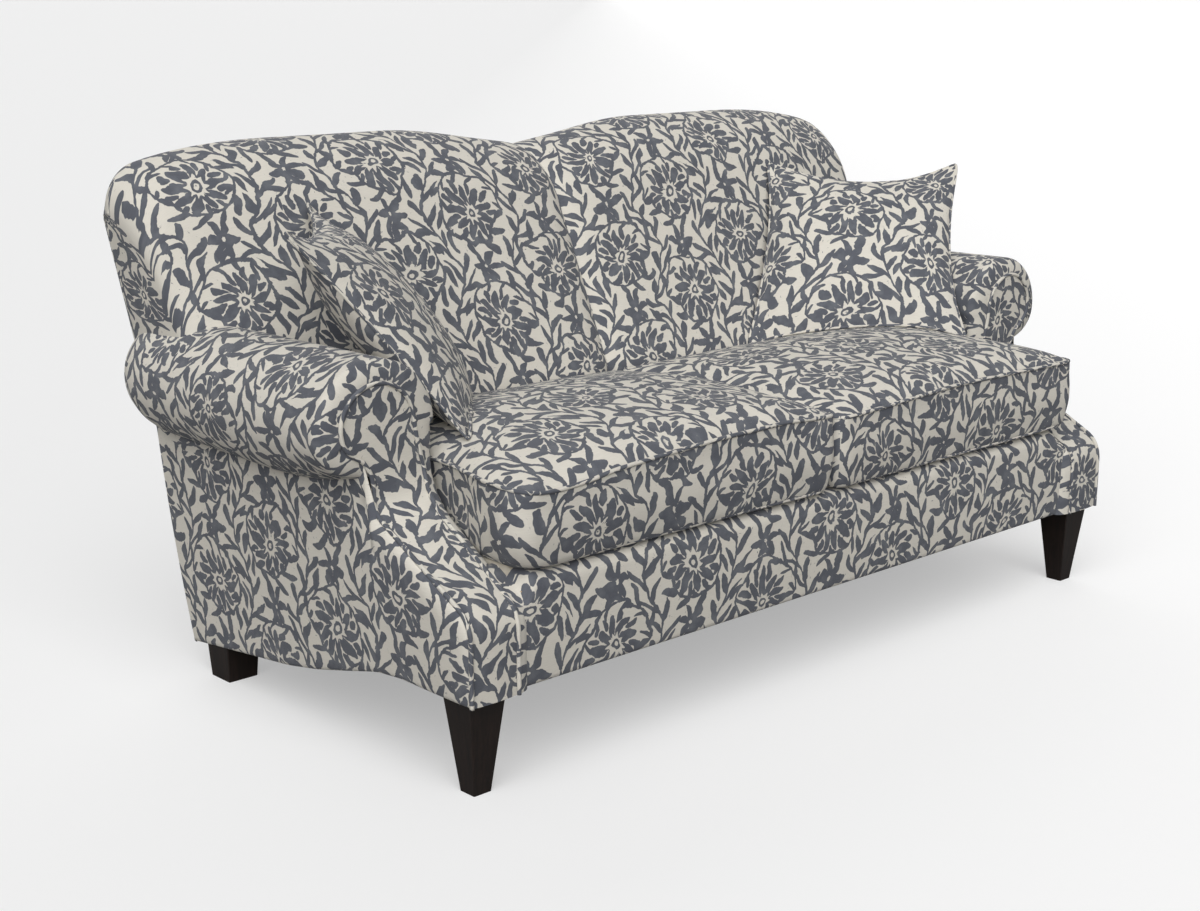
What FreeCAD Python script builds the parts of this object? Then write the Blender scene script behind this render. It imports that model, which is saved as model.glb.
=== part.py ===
import FreeCAD, Part
import math
import os
import Sketcher

# Two-seat sofa with scroll arms and a double-hump back.
# Frame: seen from the front +X is to the right, -Y is towards the viewer and +Z is up.
# The origin is on the floor under the middle of the sofa's box.

# Driving dimensions in millimetres

DIMENSIONS = {
    # Whole sofa
    "overall_depth": 880,
    "back_height": 894,
    "back_rake": 0.13,
    "seat_half_width": 674,
    # Legs
    "leg_outset": 76,
    "front_leg_setback": 45,
    "rear_leg_inset": 64.4,
    "front_leg_height": 151,
    "rear_leg_height": 80,
    "leg_top_width": 66,
    "front_leg_foot": 33,
    "rear_leg_foot": 56,
    "leg_edge_chamfer": 1.5,
    "bolt_diameter": 8,
    "bolt_length": 90,
    "bolt_play": 0.15,
    "bolt_depth_in_leg": 45,
    "rear_bolt_low": 15,
    # Seat frame
    "board_thickness": 32,
    "seat_frame_top": 294,
    "skirt_setback": 12,
    "skirt_padding": 15,
    "skirt_bottom": 151,
    "skirt_rear_bottom": 52,
    "skirt_sweep_start": 165,
    "skirt_sweep_middle": 290,
    "skirt_sweep_middle_height": 128,
    "skirt_sweep_end": 470,
    "skirt_sweep_end_height": 87,
    "skirt_knee_radius": 366,
    "skirt_sweep_radius": 741,
    "corner_block_leg": 70,
    "corner_block_height": 60,
    "corner_block_rise": 40,
    "stretcher_height": 60,
    "stretcher_drop": 12,
    "dust_cover_thickness": 1.5,
    "dust_cover_rear_rise": 4,
    # Front border and deck
    "border_top": 320,
    "border_radius": 22,
    "deck_top": 325,
    # Arms
    "roll_radius": 102,
    "roll_height": 515,
    "arm_outside_bottom_outset": 110,
    "arm_outside_top_outset": 134,
    "arm_outside_radius": 5200,
    "arm_panel_thickness": 12,
    "facing_shoulder_height": 272,
    "facing_neck_height": 410,
    "facing_setback": 218,
    "facing_shoulder_radius": 50,
    "facing_neck_radius": 60,
    "arm_post_depth": 70,
    "arm_top_rail_width": 68,
    "arm_top_rail_height": 25,
    "arm_post_top": 560,
    "arm_tack_rail_bottom": 345,
    "arm_tack_rail_height": 40,
    # Back
    "back_panel_thickness": 12,
    "back_board_depth": 40,
    "back_dip": 31,
    "back_side_inset": 21,
    "back_widest_drop": 112,
    "back_tuck": 2,
    "hump_start_share": 0.36,
    "hump_end_share": 0.62,
    "shoulder_share": 0.9,
    "shoulder_drop": 17,
    "shoulder_power": 2.3,
    "shoulder_fall": 45,
    "back_pad_top_cover": 26,
    "back_pad_side_cover": 34,
    "back_panel_lip": 4,
    "back_rail_width": 130,
    "back_tack_rail_bottom": 345,
    "back_tack_rail_width": 60,
    "back_pad_depth": 257,
    "lumbar_height": 455,
    "pad_lean": 0.43,
    "pad_nose_height": 100,
    "pad_nose_depth": 90,
    "pad_nose_fall": 22,
    "pad_belly": 6,
    "pad_valley_depth": 22,
    "webbing_width": 50,
    "webbing_thickness": 2,
    "webbing_pitch": 110,
    "webbing_low_lap": 50,
    "webbing_top_lap": 45,
    # Springs
    "wire_diameter": 4,
    "spring_pitch": 148,
    "spring_width": 52,
    "spring_loop_pitch": 30,
    "clip_width": 24,
    "clip_thickness": 2,
    "clip_play": 0.2,
    "clip_lip_share": 0.6,
    # Loose cushions
    "cushion_gap": 0.3,
    "cushion_middle_gap": 1,
    "cushion_arm_gap": 3,
    "cushion_front_flare": 22,
    "cushion_front_depth": 75,
    "cushion_boxing": 126,
    "cushion_base_inset": 4,
    "cushion_base_height": 12,
    "cushion_crown": 50,
    "cushion_crown_run": 250,
    "cushion_corner_radius": 18,
    "cushion_draw_in": 5,
    "cushion_full_draw_run": 400,
    "cushion_back_gap": 2,
    # Throw pillows
    "pillow_size": 398,
    "pillow_thickness": 124,
    "pillow_draw_in": 24,
    "pillow_side_inset": 82,
    "pillow_back_inset": 88.1,
    "pillow_rise": 133.2,
    "pillow_yaw_angle": -50.7,
    "pillow_lean_angle": 40.2,
    "pillow_roll_angle": -0.5,
    # How far cutting forms run past what they cut
    "overrun": 20,
}


class Size:
    """A number together with the sheet expression that it comes from."""

    def __init__(self, value, text):
        self.value = float(value)
        self.text = text

    def join(self, other, sign, value):
        other_text = other.text if isinstance(other, Size) else repr(other)
        return Size(value, "(" + self.text + " " + sign + " " + other_text + ")")

    def __add__(self, other):
        return self.join(other, "+", self.value + number(other))

    def __sub__(self, other):
        return self.join(other, "-", self.value - number(other))

    def __mul__(self, other):
        return self.join(other, "*", self.value * number(other))

    def __truediv__(self, other):
        return self.join(other, "/", self.value / number(other))

    def __neg__(self):
        return Size(-self.value, "(0 - " + self.text + ")")


def number(size):
    """The plain number of a Size or of a number."""
    return size.value if isinstance(size, Size) else float(size)


def chord_height(radius, offset):
    """How far a circle reaches at an offset from its centre."""
    square = radius * radius - offset * offset
    return Size(math.sqrt(square.value), "sqrt(" + square.text + ")")


doc = FreeCAD.newDocument("Sofa")
sheet = doc.addObject("Spreadsheet::Sheet", "Sizes")
for row, (alias, amount) in enumerate(DIMENSIONS.items(), start=1):
    sheet.set("A" + str(row), alias.replace("_", " "))
    sheet.set("B" + str(row), str(amount))
    sheet.setAlias("B" + str(row), alias)
doc.recompute()
size = {alias: Size(sheet.get(alias), "Sizes." + alias) for alias in DIMENSIONS}

# Derived places, measured from the middle, the front line of the seat cushions and the floor

arm_inside = size["seat_half_width"]
overrun = size["overrun"]
front = -(size["overall_depth"] / 2)
skirt_front = front + size["skirt_setback"]
frame_front = skirt_front + size["skirt_padding"]
leg_side = arm_inside + size["leg_outset"]
rail_half = leg_side - size["board_thickness"] / 2
rail_outer = leg_side + size["board_thickness"] / 2
roll_side = arm_inside + size["roll_radius"]
roll_outer = roll_side + size["roll_radius"]
scroll_top = size["roll_height"] + size["roll_radius"]
outside_low = arm_inside + size["arm_outside_bottom_outset"]
outside_high = arm_inside + size["arm_outside_top_outset"]
under_roll = size["roll_height"] - chord_height(size["roll_radius"], outside_high - roll_side)
back_half_width = roll_outer - size["back_side_inset"]
skirt_low = size["skirt_rear_bottom"] - overrun
rear_high = size["back_height"] - size["pad_nose_fall"]


def rear_line(height):
    """Where the raked rear face lies at a height."""
    return size["overall_depth"] / 2 - size["back_rake"] * (rear_high - height)


def skin_line(height):
    """The inner face of the rear panel at a height."""
    return rear_line(height) - size["back_panel_thickness"]


def board_line(height):
    """The front face of the back frame's boards at a height."""
    return skin_line(height) - size["back_board_depth"]


def web_line(height):
    """The front face of the back webbing at a height."""
    return board_line(height) - size["webbing_thickness"]


pad_front = skin_line(size["deck_top"]) - size["back_pad_depth"]


def bind(item, name, amount):
    """Set a property now and tie it to the sheet."""
    item.setExpression(name, amount.text if isinstance(amount, Size) else repr(amount))


def bind_place(item, across, deep, up):
    """Tie an object's place to the sheet."""
    bind(item, "Placement.Base.x", across)
    bind(item, "Placement.Base.y", deep)
    bind(item, "Placement.Base.z", up)


def arc_between(start, end, radius):
    """The minor arc from start to end; a positive radius has its centre on the left."""
    chord = end - start
    middle = (start + end) * 0.5
    left = FreeCAD.Vector(-chord.y, chord.x, 0).normalize()
    reach = math.sqrt(max(radius * radius - chord.Length ** 2 / 4, 0.0))
    centre = middle + left * (reach if radius > 0 else -reach)
    first, last = (start, end) if radius > 0 else (end, start)
    angle_first = math.atan2(first.y - centre.y, first.x - centre.x)
    angle_last = math.atan2(last.y - centre.y, last.x - centre.x)
    if angle_last < angle_first:
        angle_last += 2 * math.pi
    circle = Part.Circle(centre, FreeCAD.Vector(0, 0, 1), abs(radius))
    return Part.ArcOfCircle(circle, angle_first, angle_last)


def outline(body, name, role, corners, offset=None):
    """Sketch a closed outline; each corner is (across, up) or (across, up, radius to the next)."""
    sketch = body.newObject("Sketcher::SketchObject", name)
    plane = [item for item in body.Origin.OriginFeatures if item.Role == role][0]
    sketch.AttachmentSupport = [(plane, "")]
    sketch.MapMode = "FlatFace"
    if offset is not None:
        bind(sketch, "AttachmentOffset.Base.z", offset)
    points = [FreeCAD.Vector(number(item[0]), number(item[1]), 0) for item in corners]
    ends = []
    for index, corner in enumerate(corners):
        start = points[index]
        end = points[(index + 1) % len(points)]
        if len(corner) == 3:
            sketch.addGeometry(arc_between(start, end, number(corner[2])))
            ends.append((1, 2) if number(corner[2]) > 0 else (2, 1))
        else:
            sketch.addGeometry(Part.LineSegment(start, end))
            ends.append((1, 2))
    count = len(corners)
    for index in range(count):
        after = (index + 1) % count
        joined = Sketcher.Constraint("Coincident", index, ends[index][1], after, ends[after][0])
        sketch.addConstraint(joined)
    for index, corner in enumerate(corners):
        start = ends[index][0]
        across = Sketcher.Constraint("DistanceX", -1, 1, index, start, number(corner[0]))
        bind(sketch, "Constraints[%d]" % sketch.addConstraint(across), corner[0])
        up = Sketcher.Constraint("DistanceY", -1, 1, index, start, number(corner[1]))
        bind(sketch, "Constraints[%d]" % sketch.addConstraint(up), corner[1])
        if len(corner) == 3:
            bow = Sketcher.Constraint("Radius", index, abs(number(corner[2])))
            bow_size = corner[2] if number(corner[2]) > 0 else -corner[2]
            bind(sketch, "Constraints[%d]" % sketch.addConstraint(bow), bow_size)
    return sketch


def padded_body(label, role, corners, length, offset=None, symmetric=False):
    """A body that is one outline, padded."""
    body = doc.addObject("PartDesign::Body", label)
    body.Label = label
    sketch = outline(body, label + "_outline", role, corners, offset)
    pad = body.newObject("PartDesign::Pad", label + "_pad")
    pad.Profile = sketch
    if symmetric:
        pad.SideType = "Symmetric"
    bind(pad, "Length", length)
    return body


def box(label, low, high):
    """A board between two corners."""
    item = doc.addObject("Part::Box", label)
    item.Label = label
    bind_place(item, low[0], low[1], low[2])
    bind(item, "Length", high[0] - low[0])
    bind(item, "Width", high[1] - low[1])
    bind(item, "Height", high[2] - low[2])
    return item


def common(label, base, tool):
    """What two solids share."""
    item = doc.addObject("Part::Common", label)
    item.Label = label
    item.Base = base
    item.Tool = tool
    return item


def cut(label, base, tools):
    """A solid less one or more others."""
    for index, tool in enumerate(tools):
        last = index == len(tools) - 1
        item = doc.addObject("Part::Cut", label if last else label + "_step")
        item.Label = label if last else label + "_step_" + str(index)
        item.Base = base
        item.Tool = tool
        base = item
    return base


def group(label, members):
    """Several like solids in one node."""
    item = doc.addObject("Part::Compound", label)
    item.Label = label
    item.Links = members
    return item


def mirrored(label, source):
    """The left-hand copy of a right-hand piece."""
    item = doc.addObject("Part::Mirroring", label)
    item.Label = label
    item.Source = source
    item.Normal = FreeCAD.Vector(1, 0, 0)
    item.Base = FreeCAD.Vector(0, 0, 0)
    return item


def feature(label, shape):
    """A piece whose shape is worked out below."""
    item = doc.addObject("Part::Feature", label)
    item.Label = label
    item.Shape = shape
    return item


pieces = []


def keep(*items):
    """List finished pieces of the sofa."""
    pieces.extend(items)


def keep_pair(name, right):
    """List a right-hand piece and its mirror image."""
    right.Label = name + "_right"
    keep(right, mirrored(name + "_left", right))


# Side outline of an arm: front, sweep of the skirt, rear, and the facing that sets back

def side_form(label, setback):
    """The side outline as a block across one arm, its front moved back by a setback."""
    face = front + setback
    neck = front + size["facing_setback"] + setback
    top = scroll_top + overrun
    corners = [
        (face, size["skirt_bottom"]),
        (front + size["skirt_sweep_start"], size["skirt_bottom"], -size["skirt_knee_radius"]),
        (front + size["skirt_sweep_middle"], size["skirt_sweep_middle_height"], size["skirt_sweep_radius"]),
        (front + size["skirt_sweep_end"], size["skirt_sweep_end_height"]),
        (skin_line(size["skirt_rear_bottom"]), size["skirt_rear_bottom"]),
        (skin_line(top), top),
        (neck, top),
        (neck, size["facing_neck_height"]),
        (face, size["facing_shoulder_height"]),
    ]
    wide = size["roll_radius"] * 2 + overrun * 2
    body = padded_body(label, "YZ_Plane", corners, wide, offset=arm_inside - overrun)
    doc.recompute()
    round_edge(body, label + "_neck", neck, size["facing_neck_height"], size["facing_neck_radius"])
    doc.recompute()
    shoulder = size["facing_shoulder_height"]
    round_edge(body, label + "_shoulder", face, shoulder, size["facing_shoulder_radius"])
    return body


def round_edge(body, name, deep, up, radius):
    """Round the edge that runs across the sofa at one place of the side view."""
    tip = body.Tip
    spots = [
        "Edge" + str(index)
        for index, edge in enumerate(tip.Shape.Edges, start=1)
        if all(math.hypot(v.Y - number(deep), v.Z - number(up)) < 0.01 for v in edge.Vertexes)
    ]
    fillet = body.newObject("PartDesign::Fillet", name)
    fillet.Base = (tip, spots)
    bind(fillet, "Radius", radius)


facing_thickness = size["skirt_padding"]
whole_side = side_form("side_envelope", 0)
core_side = side_form("side_core", facing_thickness)
through = size["overall_depth"] + overrun * 2

# Hardwood seat frame

board = size["board_thickness"]
frame_top = size["seat_frame_top"]

foot_space = cut(
    "foot_space",
    box(
        "foot_space_blank",
        (arm_inside, front, size["skirt_rear_bottom"]),
        (
            rail_outer + size["arm_panel_thickness"],
            front + size["facing_setback"],
            size["deck_top"] + overrun,
        ),
    ),
    [core_side],
)
foot_space_left = mirrored("foot_space_left", foot_space)

front_rail_blank = box(
    "front_rail_blank",
    (-rail_half, frame_front, size["skirt_bottom"]),
    (rail_half, frame_front + board, frame_top),
)
keep(cut("front_rail", front_rail_blank, [foot_space, foot_space_left]))

cover = size["dust_cover_thickness"]
cover_low = size["skirt_rear_bottom"] + size["dust_cover_rear_rise"]
back_rail = padded_body(
    "back_rail", "YZ_Plane",
    [
        (skin_line(cover_low + cover) - board, cover_low + cover),
        (skin_line(cover_low + cover), cover_low + cover),
        (skin_line(frame_top), frame_top),
        (skin_line(frame_top) - board, frame_top),
    ],
    rail_half * 2, symmetric=True,
)
keep(back_rail)

side_blank = box(
    "side_rail_blank",
    (rail_half, front, skirt_low),
    (rail_outer, -front, frame_top),
)
side_rail = common("side_rail", side_blank, core_side)

stretcher_front = frame_front + board
stretcher_top = frame_top - size["stretcher_drop"]
stretcher_low = stretcher_top - size["stretcher_height"]
centre_stretcher = padded_body(
    "centre_stretcher", "YZ_Plane",
    [
        (stretcher_front, stretcher_low),
        (skin_line(stretcher_low) - board, stretcher_low),
        (skin_line(stretcher_top) - board, stretcher_top),
        (stretcher_front, stretcher_top),
    ],
    board, symmetric=True,
)
keep(centre_stretcher)


def corner_block(label, hand, deep, tip):
    """A three-cornered glue block in a corner of the seat frame."""
    inner = (rail_half - size["corner_block_leg"]) * hand
    edge = rail_half * hand
    corners = [(edge, deep), (inner, deep), (edge, tip)]
    return padded_body(label, "XY_Plane", corners, size["corner_block_height"], offset=block_low)


block_low = size["skirt_bottom"] + size["corner_block_rise"]
rear_face = skin_line(block_low) - board
rear_reach = skin_line(block_low + size["corner_block_height"]) - board
blocks = []
for hand, name in ((1, "right"), (-1, "left")):
    front_tip = stretcher_front + size["corner_block_leg"]
    blocks.append(corner_block("front_block_" + name, hand, stretcher_front, front_tip))
    rear_tip = rear_face - size["corner_block_leg"]
    rear_blank = corner_block("rear_block_blank_" + name, hand, rear_reach, rear_tip)
    blocks.append(cut("rear_block_" + name, rear_blank, [back_rail]))
keep(group("corner_blocks", blocks))

# Arm frame: post, top rail and tack rail

post_rear = front + size["facing_setback"] + facing_thickness + size["arm_post_depth"]
post_blank = box(
    "arm_post_blank",
    (rail_half, front, frame_top),
    (rail_outer, post_rear, size["arm_post_top"]),
)
arm_post = common("arm_post", post_blank, core_side)

rail_low = size["back_height"] - size["back_rail_width"]
back_post = padded_body(
    "back_post", "YZ_Plane",
    [
        (board_line(frame_top), frame_top),
        (skin_line(frame_top), frame_top),
        (skin_line(rail_low), rail_low),
        (board_line(rail_low), rail_low),
    ],
    board, offset=rail_half,
)

top_rail_half = size["arm_top_rail_width"] / 2
top_rail_blank = box(
    "arm_top_rail_blank",
    (roll_side - top_rail_half, front, size["arm_post_top"]),
    (roll_side + top_rail_half, -front, size["arm_post_top"] + size["arm_top_rail_height"]),
)
arm_top_rail = cut("arm_top_rail", common("arm_top_rail_length", top_rail_blank, core_side), [back_post])

tack_low = size["arm_tack_rail_bottom"]
tack_blank = box(
    "arm_tack_rail_blank",
    (rail_half, post_rear, tack_low),
    (rail_outer, skin_line(tack_low), tack_low + size["arm_tack_rail_height"]),
)
arm_tack_rail = cut("arm_tack_rail", tack_blank, [back_post])

tack_bottom = size["back_tack_rail_bottom"]
tack_top = tack_bottom + size["back_tack_rail_width"]
back_tack_rail = padded_body(
    "back_tack_rail", "YZ_Plane",
    [
        (board_line(tack_bottom), tack_bottom),
        (skin_line(tack_bottom), tack_bottom),
        (skin_line(tack_top), tack_top),
        (board_line(tack_top), tack_top),
    ],
    rail_half * 2, symmetric=True,
)
keep(back_tack_rail)

# Scroll arm: one outline for the facing, inner parts of it for the pad and the outside panel

scroll_outline = [
    (arm_inside, skirt_low),
    (arm_inside, size["roll_height"], -size["roll_radius"]),
    (roll_side, scroll_top, -size["roll_radius"]),
    (roll_outer, size["roll_height"], -size["roll_radius"]),
    (outside_high, under_roll, -size["arm_outside_radius"]),
    (outside_low, skirt_low),
]
scroll_form = padded_body("scroll_form", "XZ_Plane", scroll_outline, through, symmetric=True)

facing_blank = cut("facing_blank", common("facing_front", scroll_form, whole_side), [core_side])

panel = size["arm_panel_thickness"]
panel_outline = [
    (outside_low - panel, skirt_low),
    (outside_high - panel, under_roll),
    (outside_high, under_roll, -size["arm_outside_radius"]),
    (outside_low, skirt_low),
]
panel_form = padded_body("arm_panel_form", "XZ_Plane", panel_outline, through, symmetric=True)
arm_outside = common("arm_outside", panel_form, core_side)

pad_outline = [
    (arm_inside, size["deck_top"]),
    (arm_inside, size["roll_height"], -size["roll_radius"]),
    (roll_side, scroll_top, -size["roll_radius"]),
    (roll_outer, size["roll_height"], -size["roll_radius"]),
    (outside_high, under_roll),
    (rail_half, under_roll),
    (rail_half, size["deck_top"]),
]
roll_form = padded_body("arm_roll_form", "XZ_Plane", pad_outline, through, symmetric=True)
roll_long = common("arm_roll_length", roll_form, core_side)
arm_pad = cut("arm_pad", roll_long, [arm_post, back_post, arm_top_rail, back_tack_rail])

# Front border and deck

border_rear = frame_front + board / 2
deck_bottom = frame_top + size["wire_diameter"] + size["clip_thickness"] * 2
border = padded_body(
    "front_border", "YZ_Plane",
    [
        (skirt_front, size["skirt_bottom"]),
        (frame_front, size["skirt_bottom"]),
        (frame_front, frame_top),
        (border_rear, frame_top),
        (border_rear, size["border_top"]),
        (skirt_front + size["border_radius"], size["border_top"], size["border_radius"]),
        (skirt_front, size["border_top"] - size["border_radius"]),
    ],
    arm_inside * 2, symmetric=True,
)
keep(border)

deck_blank = box(
    "deck_blank",
    (-rail_half, border_rear, deck_bottom),
    (rail_half, pad_front, size["deck_top"]),
)
keep(cut("deck_cover", deck_blank, [foot_space, foot_space_left]))

# Cambric under the seat, along the sweep of the side rails

cover_rear = skin_line(cover_low) - board
sweep_end = front + size["skirt_sweep_end"]
sweep_middle = front + size["skirt_sweep_middle"]
dust_cover = padded_body(
    "dust_cover", "YZ_Plane",
    [
        (frame_front + board, size["skirt_bottom"]),
        (front + size["skirt_sweep_start"], size["skirt_bottom"], -size["skirt_knee_radius"]),
        (sweep_middle, size["skirt_sweep_middle_height"], size["skirt_sweep_radius"]),
        (sweep_end, size["skirt_sweep_end_height"]),
        (cover_rear, cover_low),
        (cover_rear, cover_low + cover),
        (sweep_end, size["skirt_sweep_end_height"] + cover, -size["skirt_sweep_radius"]),
        (sweep_middle, size["skirt_sweep_middle_height"] + cover, size["skirt_knee_radius"]),
        (front + size["skirt_sweep_start"], size["skirt_bottom"] + cover),
        (frame_front + board, size["skirt_bottom"] + cover),
    ],
    rail_half * 2, symmetric=True,
)
keep(dust_cover)

# Legs: tapered blocks, bolted up into the side rails

def leg_blank(label, deep, height, foot):
    """A square leg that tapers to the floor."""
    half = foot / 2
    corners = [
        (leg_side - half, deep - half),
        (leg_side + half, deep - half),
        (leg_side + half, deep + half),
        (leg_side - half, deep + half),
    ]
    body = padded_body(label, "XY_Plane", corners, height)
    pad = body.Tip
    slope = (size["leg_top_width"] - foot) / 2 / height
    pad.setExpression("TaperAngle", "atan(" + slope.text + ")")
    doc.recompute()
    names = [
        "Edge" + str(index)
        for index, edge in enumerate(pad.Shape.Edges, start=1)
        if abs(edge.Vertexes[0].Z - edge.Vertexes[1].Z) > number(height) / 2
    ]
    chamfer = body.newObject("PartDesign::Chamfer", label + "_edges")
    chamfer.Base = (pad, names)
    bind(chamfer, "Size", size["leg_edge_chamfer"])
    return body


def bolt_hole(label, deep, low, high):
    """The hole for one hanger bolt."""
    hole = doc.addObject("Part::Cylinder", label)
    bind(hole, "Radius", size["bolt_diameter"] / 2 + size["bolt_play"])
    bind(hole, "Height", high - low)
    bind_place(hole, leg_side, deep, low)
    return hole


def hanger_bolt(label, deep, low):
    """One hanger bolt, a plain rod at this scale."""
    bolt = doc.addObject("Part::Cylinder", label)
    bind(bolt, "Radius", size["bolt_diameter"] / 2)
    bind(bolt, "Height", size["bolt_length"])
    bind_place(bolt, leg_side, deep, low)
    return bolt


front_deep = front + size["front_leg_setback"]
rear_deep = skin_line(size["skirt_rear_bottom"]) - size["rear_leg_inset"]
front_bolt_low = size["front_leg_height"] - size["bolt_depth_in_leg"]
bolt_length = size["bolt_length"]
front_hole = bolt_hole("front_bolt_hole", front_deep, front_bolt_low, front_bolt_low + bolt_length)
rear_bolt_low = size["rear_bolt_low"]
rear_hole = bolt_hole("rear_bolt_hole", rear_deep, rear_bolt_low, rear_bolt_low + bolt_length)

front_blank = leg_blank("front_leg_blank", front_deep, size["front_leg_height"], size["front_leg_foot"])
keep_pair("front_leg", cut("front_leg", front_blank, [front_hole]))
rear_blank = leg_blank("rear_leg_blank", rear_deep, size["rear_leg_height"], size["rear_leg_foot"])
keep_pair("rear_leg", cut("rear_leg", rear_blank, [core_side, rear_hole]))

front_bolt = hanger_bolt("front_bolt", front_deep, front_bolt_low)
rear_bolt = hanger_bolt("rear_bolt", rear_deep, rear_bolt_low)
bolts = [front_bolt, rear_bolt]
bolts += [mirrored("front_bolt_left", front_bolt), mirrored("rear_bolt_left", rear_bolt)]
keep(group("leg_bolts", bolts))

keep_pair("side_rail", cut("side_rail_bored", side_rail, [front_hole, rear_hole]))
keep_pair("arm_post", arm_post)
keep_pair("back_post", back_post)
keep_pair("arm_top_rail", arm_top_rail)
keep_pair("arm_tack_rail", arm_tack_rail)
keep_pair("arm_outside", arm_outside)
keep_pair("arm_pad", arm_pad)
keep_pair("arm_facing", facing_blank)

# Back outline: two humps with a dip between them

width = number(back_half_width)
widest_at = size["back_height"] - size["back_widest_drop"]
tucked_width = number(outside_high - size["back_tuck"])
taper = (1 - tucked_width / width) / number(widest_at - under_roll)


def crest(side):
    """Height of the top edge at a distance from the middle."""
    top = number(size["back_height"])
    dip = number(size["back_dip"])
    share = side / width
    hump_start = number(size["hump_start_share"])
    hump_end = number(size["hump_end_share"])
    if share < hump_start:
        return top - dip * (1 + math.cos(math.pi * share / hump_start)) / 2
    if share < hump_end:
        return top
    fall = (share - hump_end) / (number(size["shoulder_share"]) - hump_end)
    return top - number(size["shoulder_drop"]) * fall ** number(size["shoulder_power"])


def fan_side(side, height):
    """The back narrows from its widest height down to the arms."""
    return side * (1 + taper * (height - number(widest_at)))


# How the arcs of a back section are bowed, as shares of their own reach
turn_share = 0.2
nose_bow_deep = 0.43
nose_bow_up = 0.53
crest_bow = 0.46


def back_section(share, sink, fall):
    """One upright slice of an inside-back pad: seat, front, nose, crest and rear.

    share is its place out from the middle, sink how far of the valley's depth its front
    lies back, and fall how far of the nose its crest lies lower.
    """
    side = share * width
    top = crest(side) - fall * number(size["pad_nose_height"])
    nose = top - number(size["pad_nose_height"])
    lumbar = number(size["lumbar_height"])
    foot_y = number(pad_front) + sink * number(size["pad_valley_depth"])
    nose_y = foot_y + number(size["pad_lean"]) * (nose - lumbar)
    turn_y = nose_y + number(size["pad_nose_depth"])
    turn_up = top - number(size["pad_nose_height"]) * turn_share
    rear_up = top - number(size["pad_nose_fall"])
    rear_y = number(skin_line(rear_up))
    deck = number(size["deck_top"])

    def at(deep, height):
        return FreeCAD.Vector(fan_side(side, height), deep, height)

    belly_y = (foot_y + nose_y) / 2 - number(size["pad_belly"])
    seat_rear = at(number(skin_line(deck)), deck)
    seat_front = at(foot_y, deck)
    lumbar_spot = at(foot_y, lumbar)
    belly_spot = at(belly_y, (lumbar + nose) / 2)
    nose_spot = at(nose_y, nose)
    nose_bow = at(nose_y + (turn_y - nose_y) * nose_bow_deep, nose + (turn_up - nose) * nose_bow_up)
    turn_spot = at(turn_y, turn_up)
    crest_spot = at(turn_y + (rear_y - turn_y) * crest_bow, top)
    rear_spot = at(rear_y, rear_up)
    edges = [
        Part.makeLine(seat_rear, seat_front),
        Part.makeLine(seat_front, lumbar_spot),
        Part.Arc(lumbar_spot, belly_spot, nose_spot).toShape(),
        Part.Arc(nose_spot, nose_bow, turn_spot).toShape(),
        Part.Arc(turn_spot, crest_spot, rear_spot).toShape(),
        Part.makeLine(rear_spot, seat_rear),
    ]
    return Part.Wire(edges)


back_slices = [
    (0.0003, 1, 0.035),
    (0.025, 0.62, 0),
    (0.07, 0.22, 0),
    (0.19, 0, 0),
    (0.46, 0, 0),
    (0.72, 0.5, 0),
    (0.88, 1.3, 0),
    (0.955, 2.1, 0.06),
    (0.988, 2.7, 0.27),
    (1, 3.2, 0.5),
]
back_loft = Part.makeLoft([back_section(*item) for item in back_slices], True, False)
back_blank = feature("back_pad_blank", back_loft)

crest_shares = (0, 0.12, 0.26, 0.42, 0.6, 0.78, 0.9, 0.965)


def hump_outline(label, inset, drop, bottom):
    """The double-hump outline of a board or panel, inset from the pad's edge, padded through."""
    reach = width - inset
    crest_points = []
    for share in crest_shares:
        crest_points.append(FreeCAD.Vector(reach * share, 0, crest(reach * share) - drop))
    shoulder_up = crest(reach) - drop - number(size["shoulder_fall"])
    crest_points.append(FreeCAD.Vector(reach, 0, shoulder_up))
    curve = Part.BSplineCurve()
    curve.interpolate(crest_points)
    side_points = [
        crest_points[-1],
        FreeCAD.Vector(number(outside_high) - inset, 0, number(under_roll)),
        FreeCAD.Vector(number(outside_low) - inset, 0, bottom),
        FreeCAD.Vector(0, 0, bottom),
        crest_points[0],
    ]
    edges = [curve.toShape()]
    edges += [Part.makeLine(first, second) for first, second in zip(side_points, side_points[1:])]
    half_depth = number(through) / 2
    face = Part.Face(Part.Wire(edges))
    face.translate(FreeCAD.Vector(0, -half_depth, 0))
    half = face.extrude(FreeCAD.Vector(0, 2 * half_depth, 0))
    other = half.mirror(FreeCAD.Vector(0, 0, 0), FreeCAD.Vector(1, 0, 0))
    return feature(label, half.fuse(other).removeSplitter())


def raked_slab(label, front_line, back_line, low, high):
    """A slab that leans with the back, wider than the sofa."""
    corners = [
        (front_line(low), low),
        (back_line(low), low),
        (back_line(high), high),
        (front_line(high), high),
    ]
    return padded_body(label, "YZ_Plane", corners, (back_half_width + overrun) * 2, symmetric=True)


tall = size["back_height"] + overrun
skirt_rear = size["skirt_rear_bottom"]
panel_drop = number(size["pad_nose_fall"] - size["back_panel_lip"])
panel_slab = raked_slab("outside_back_slab", skin_line, rear_line, skirt_rear, tall)
panel_hump = hump_outline("outside_back_outline", 0, panel_drop, number(skirt_low))
keep(common("outside_back", panel_hump, panel_slab))

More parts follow.
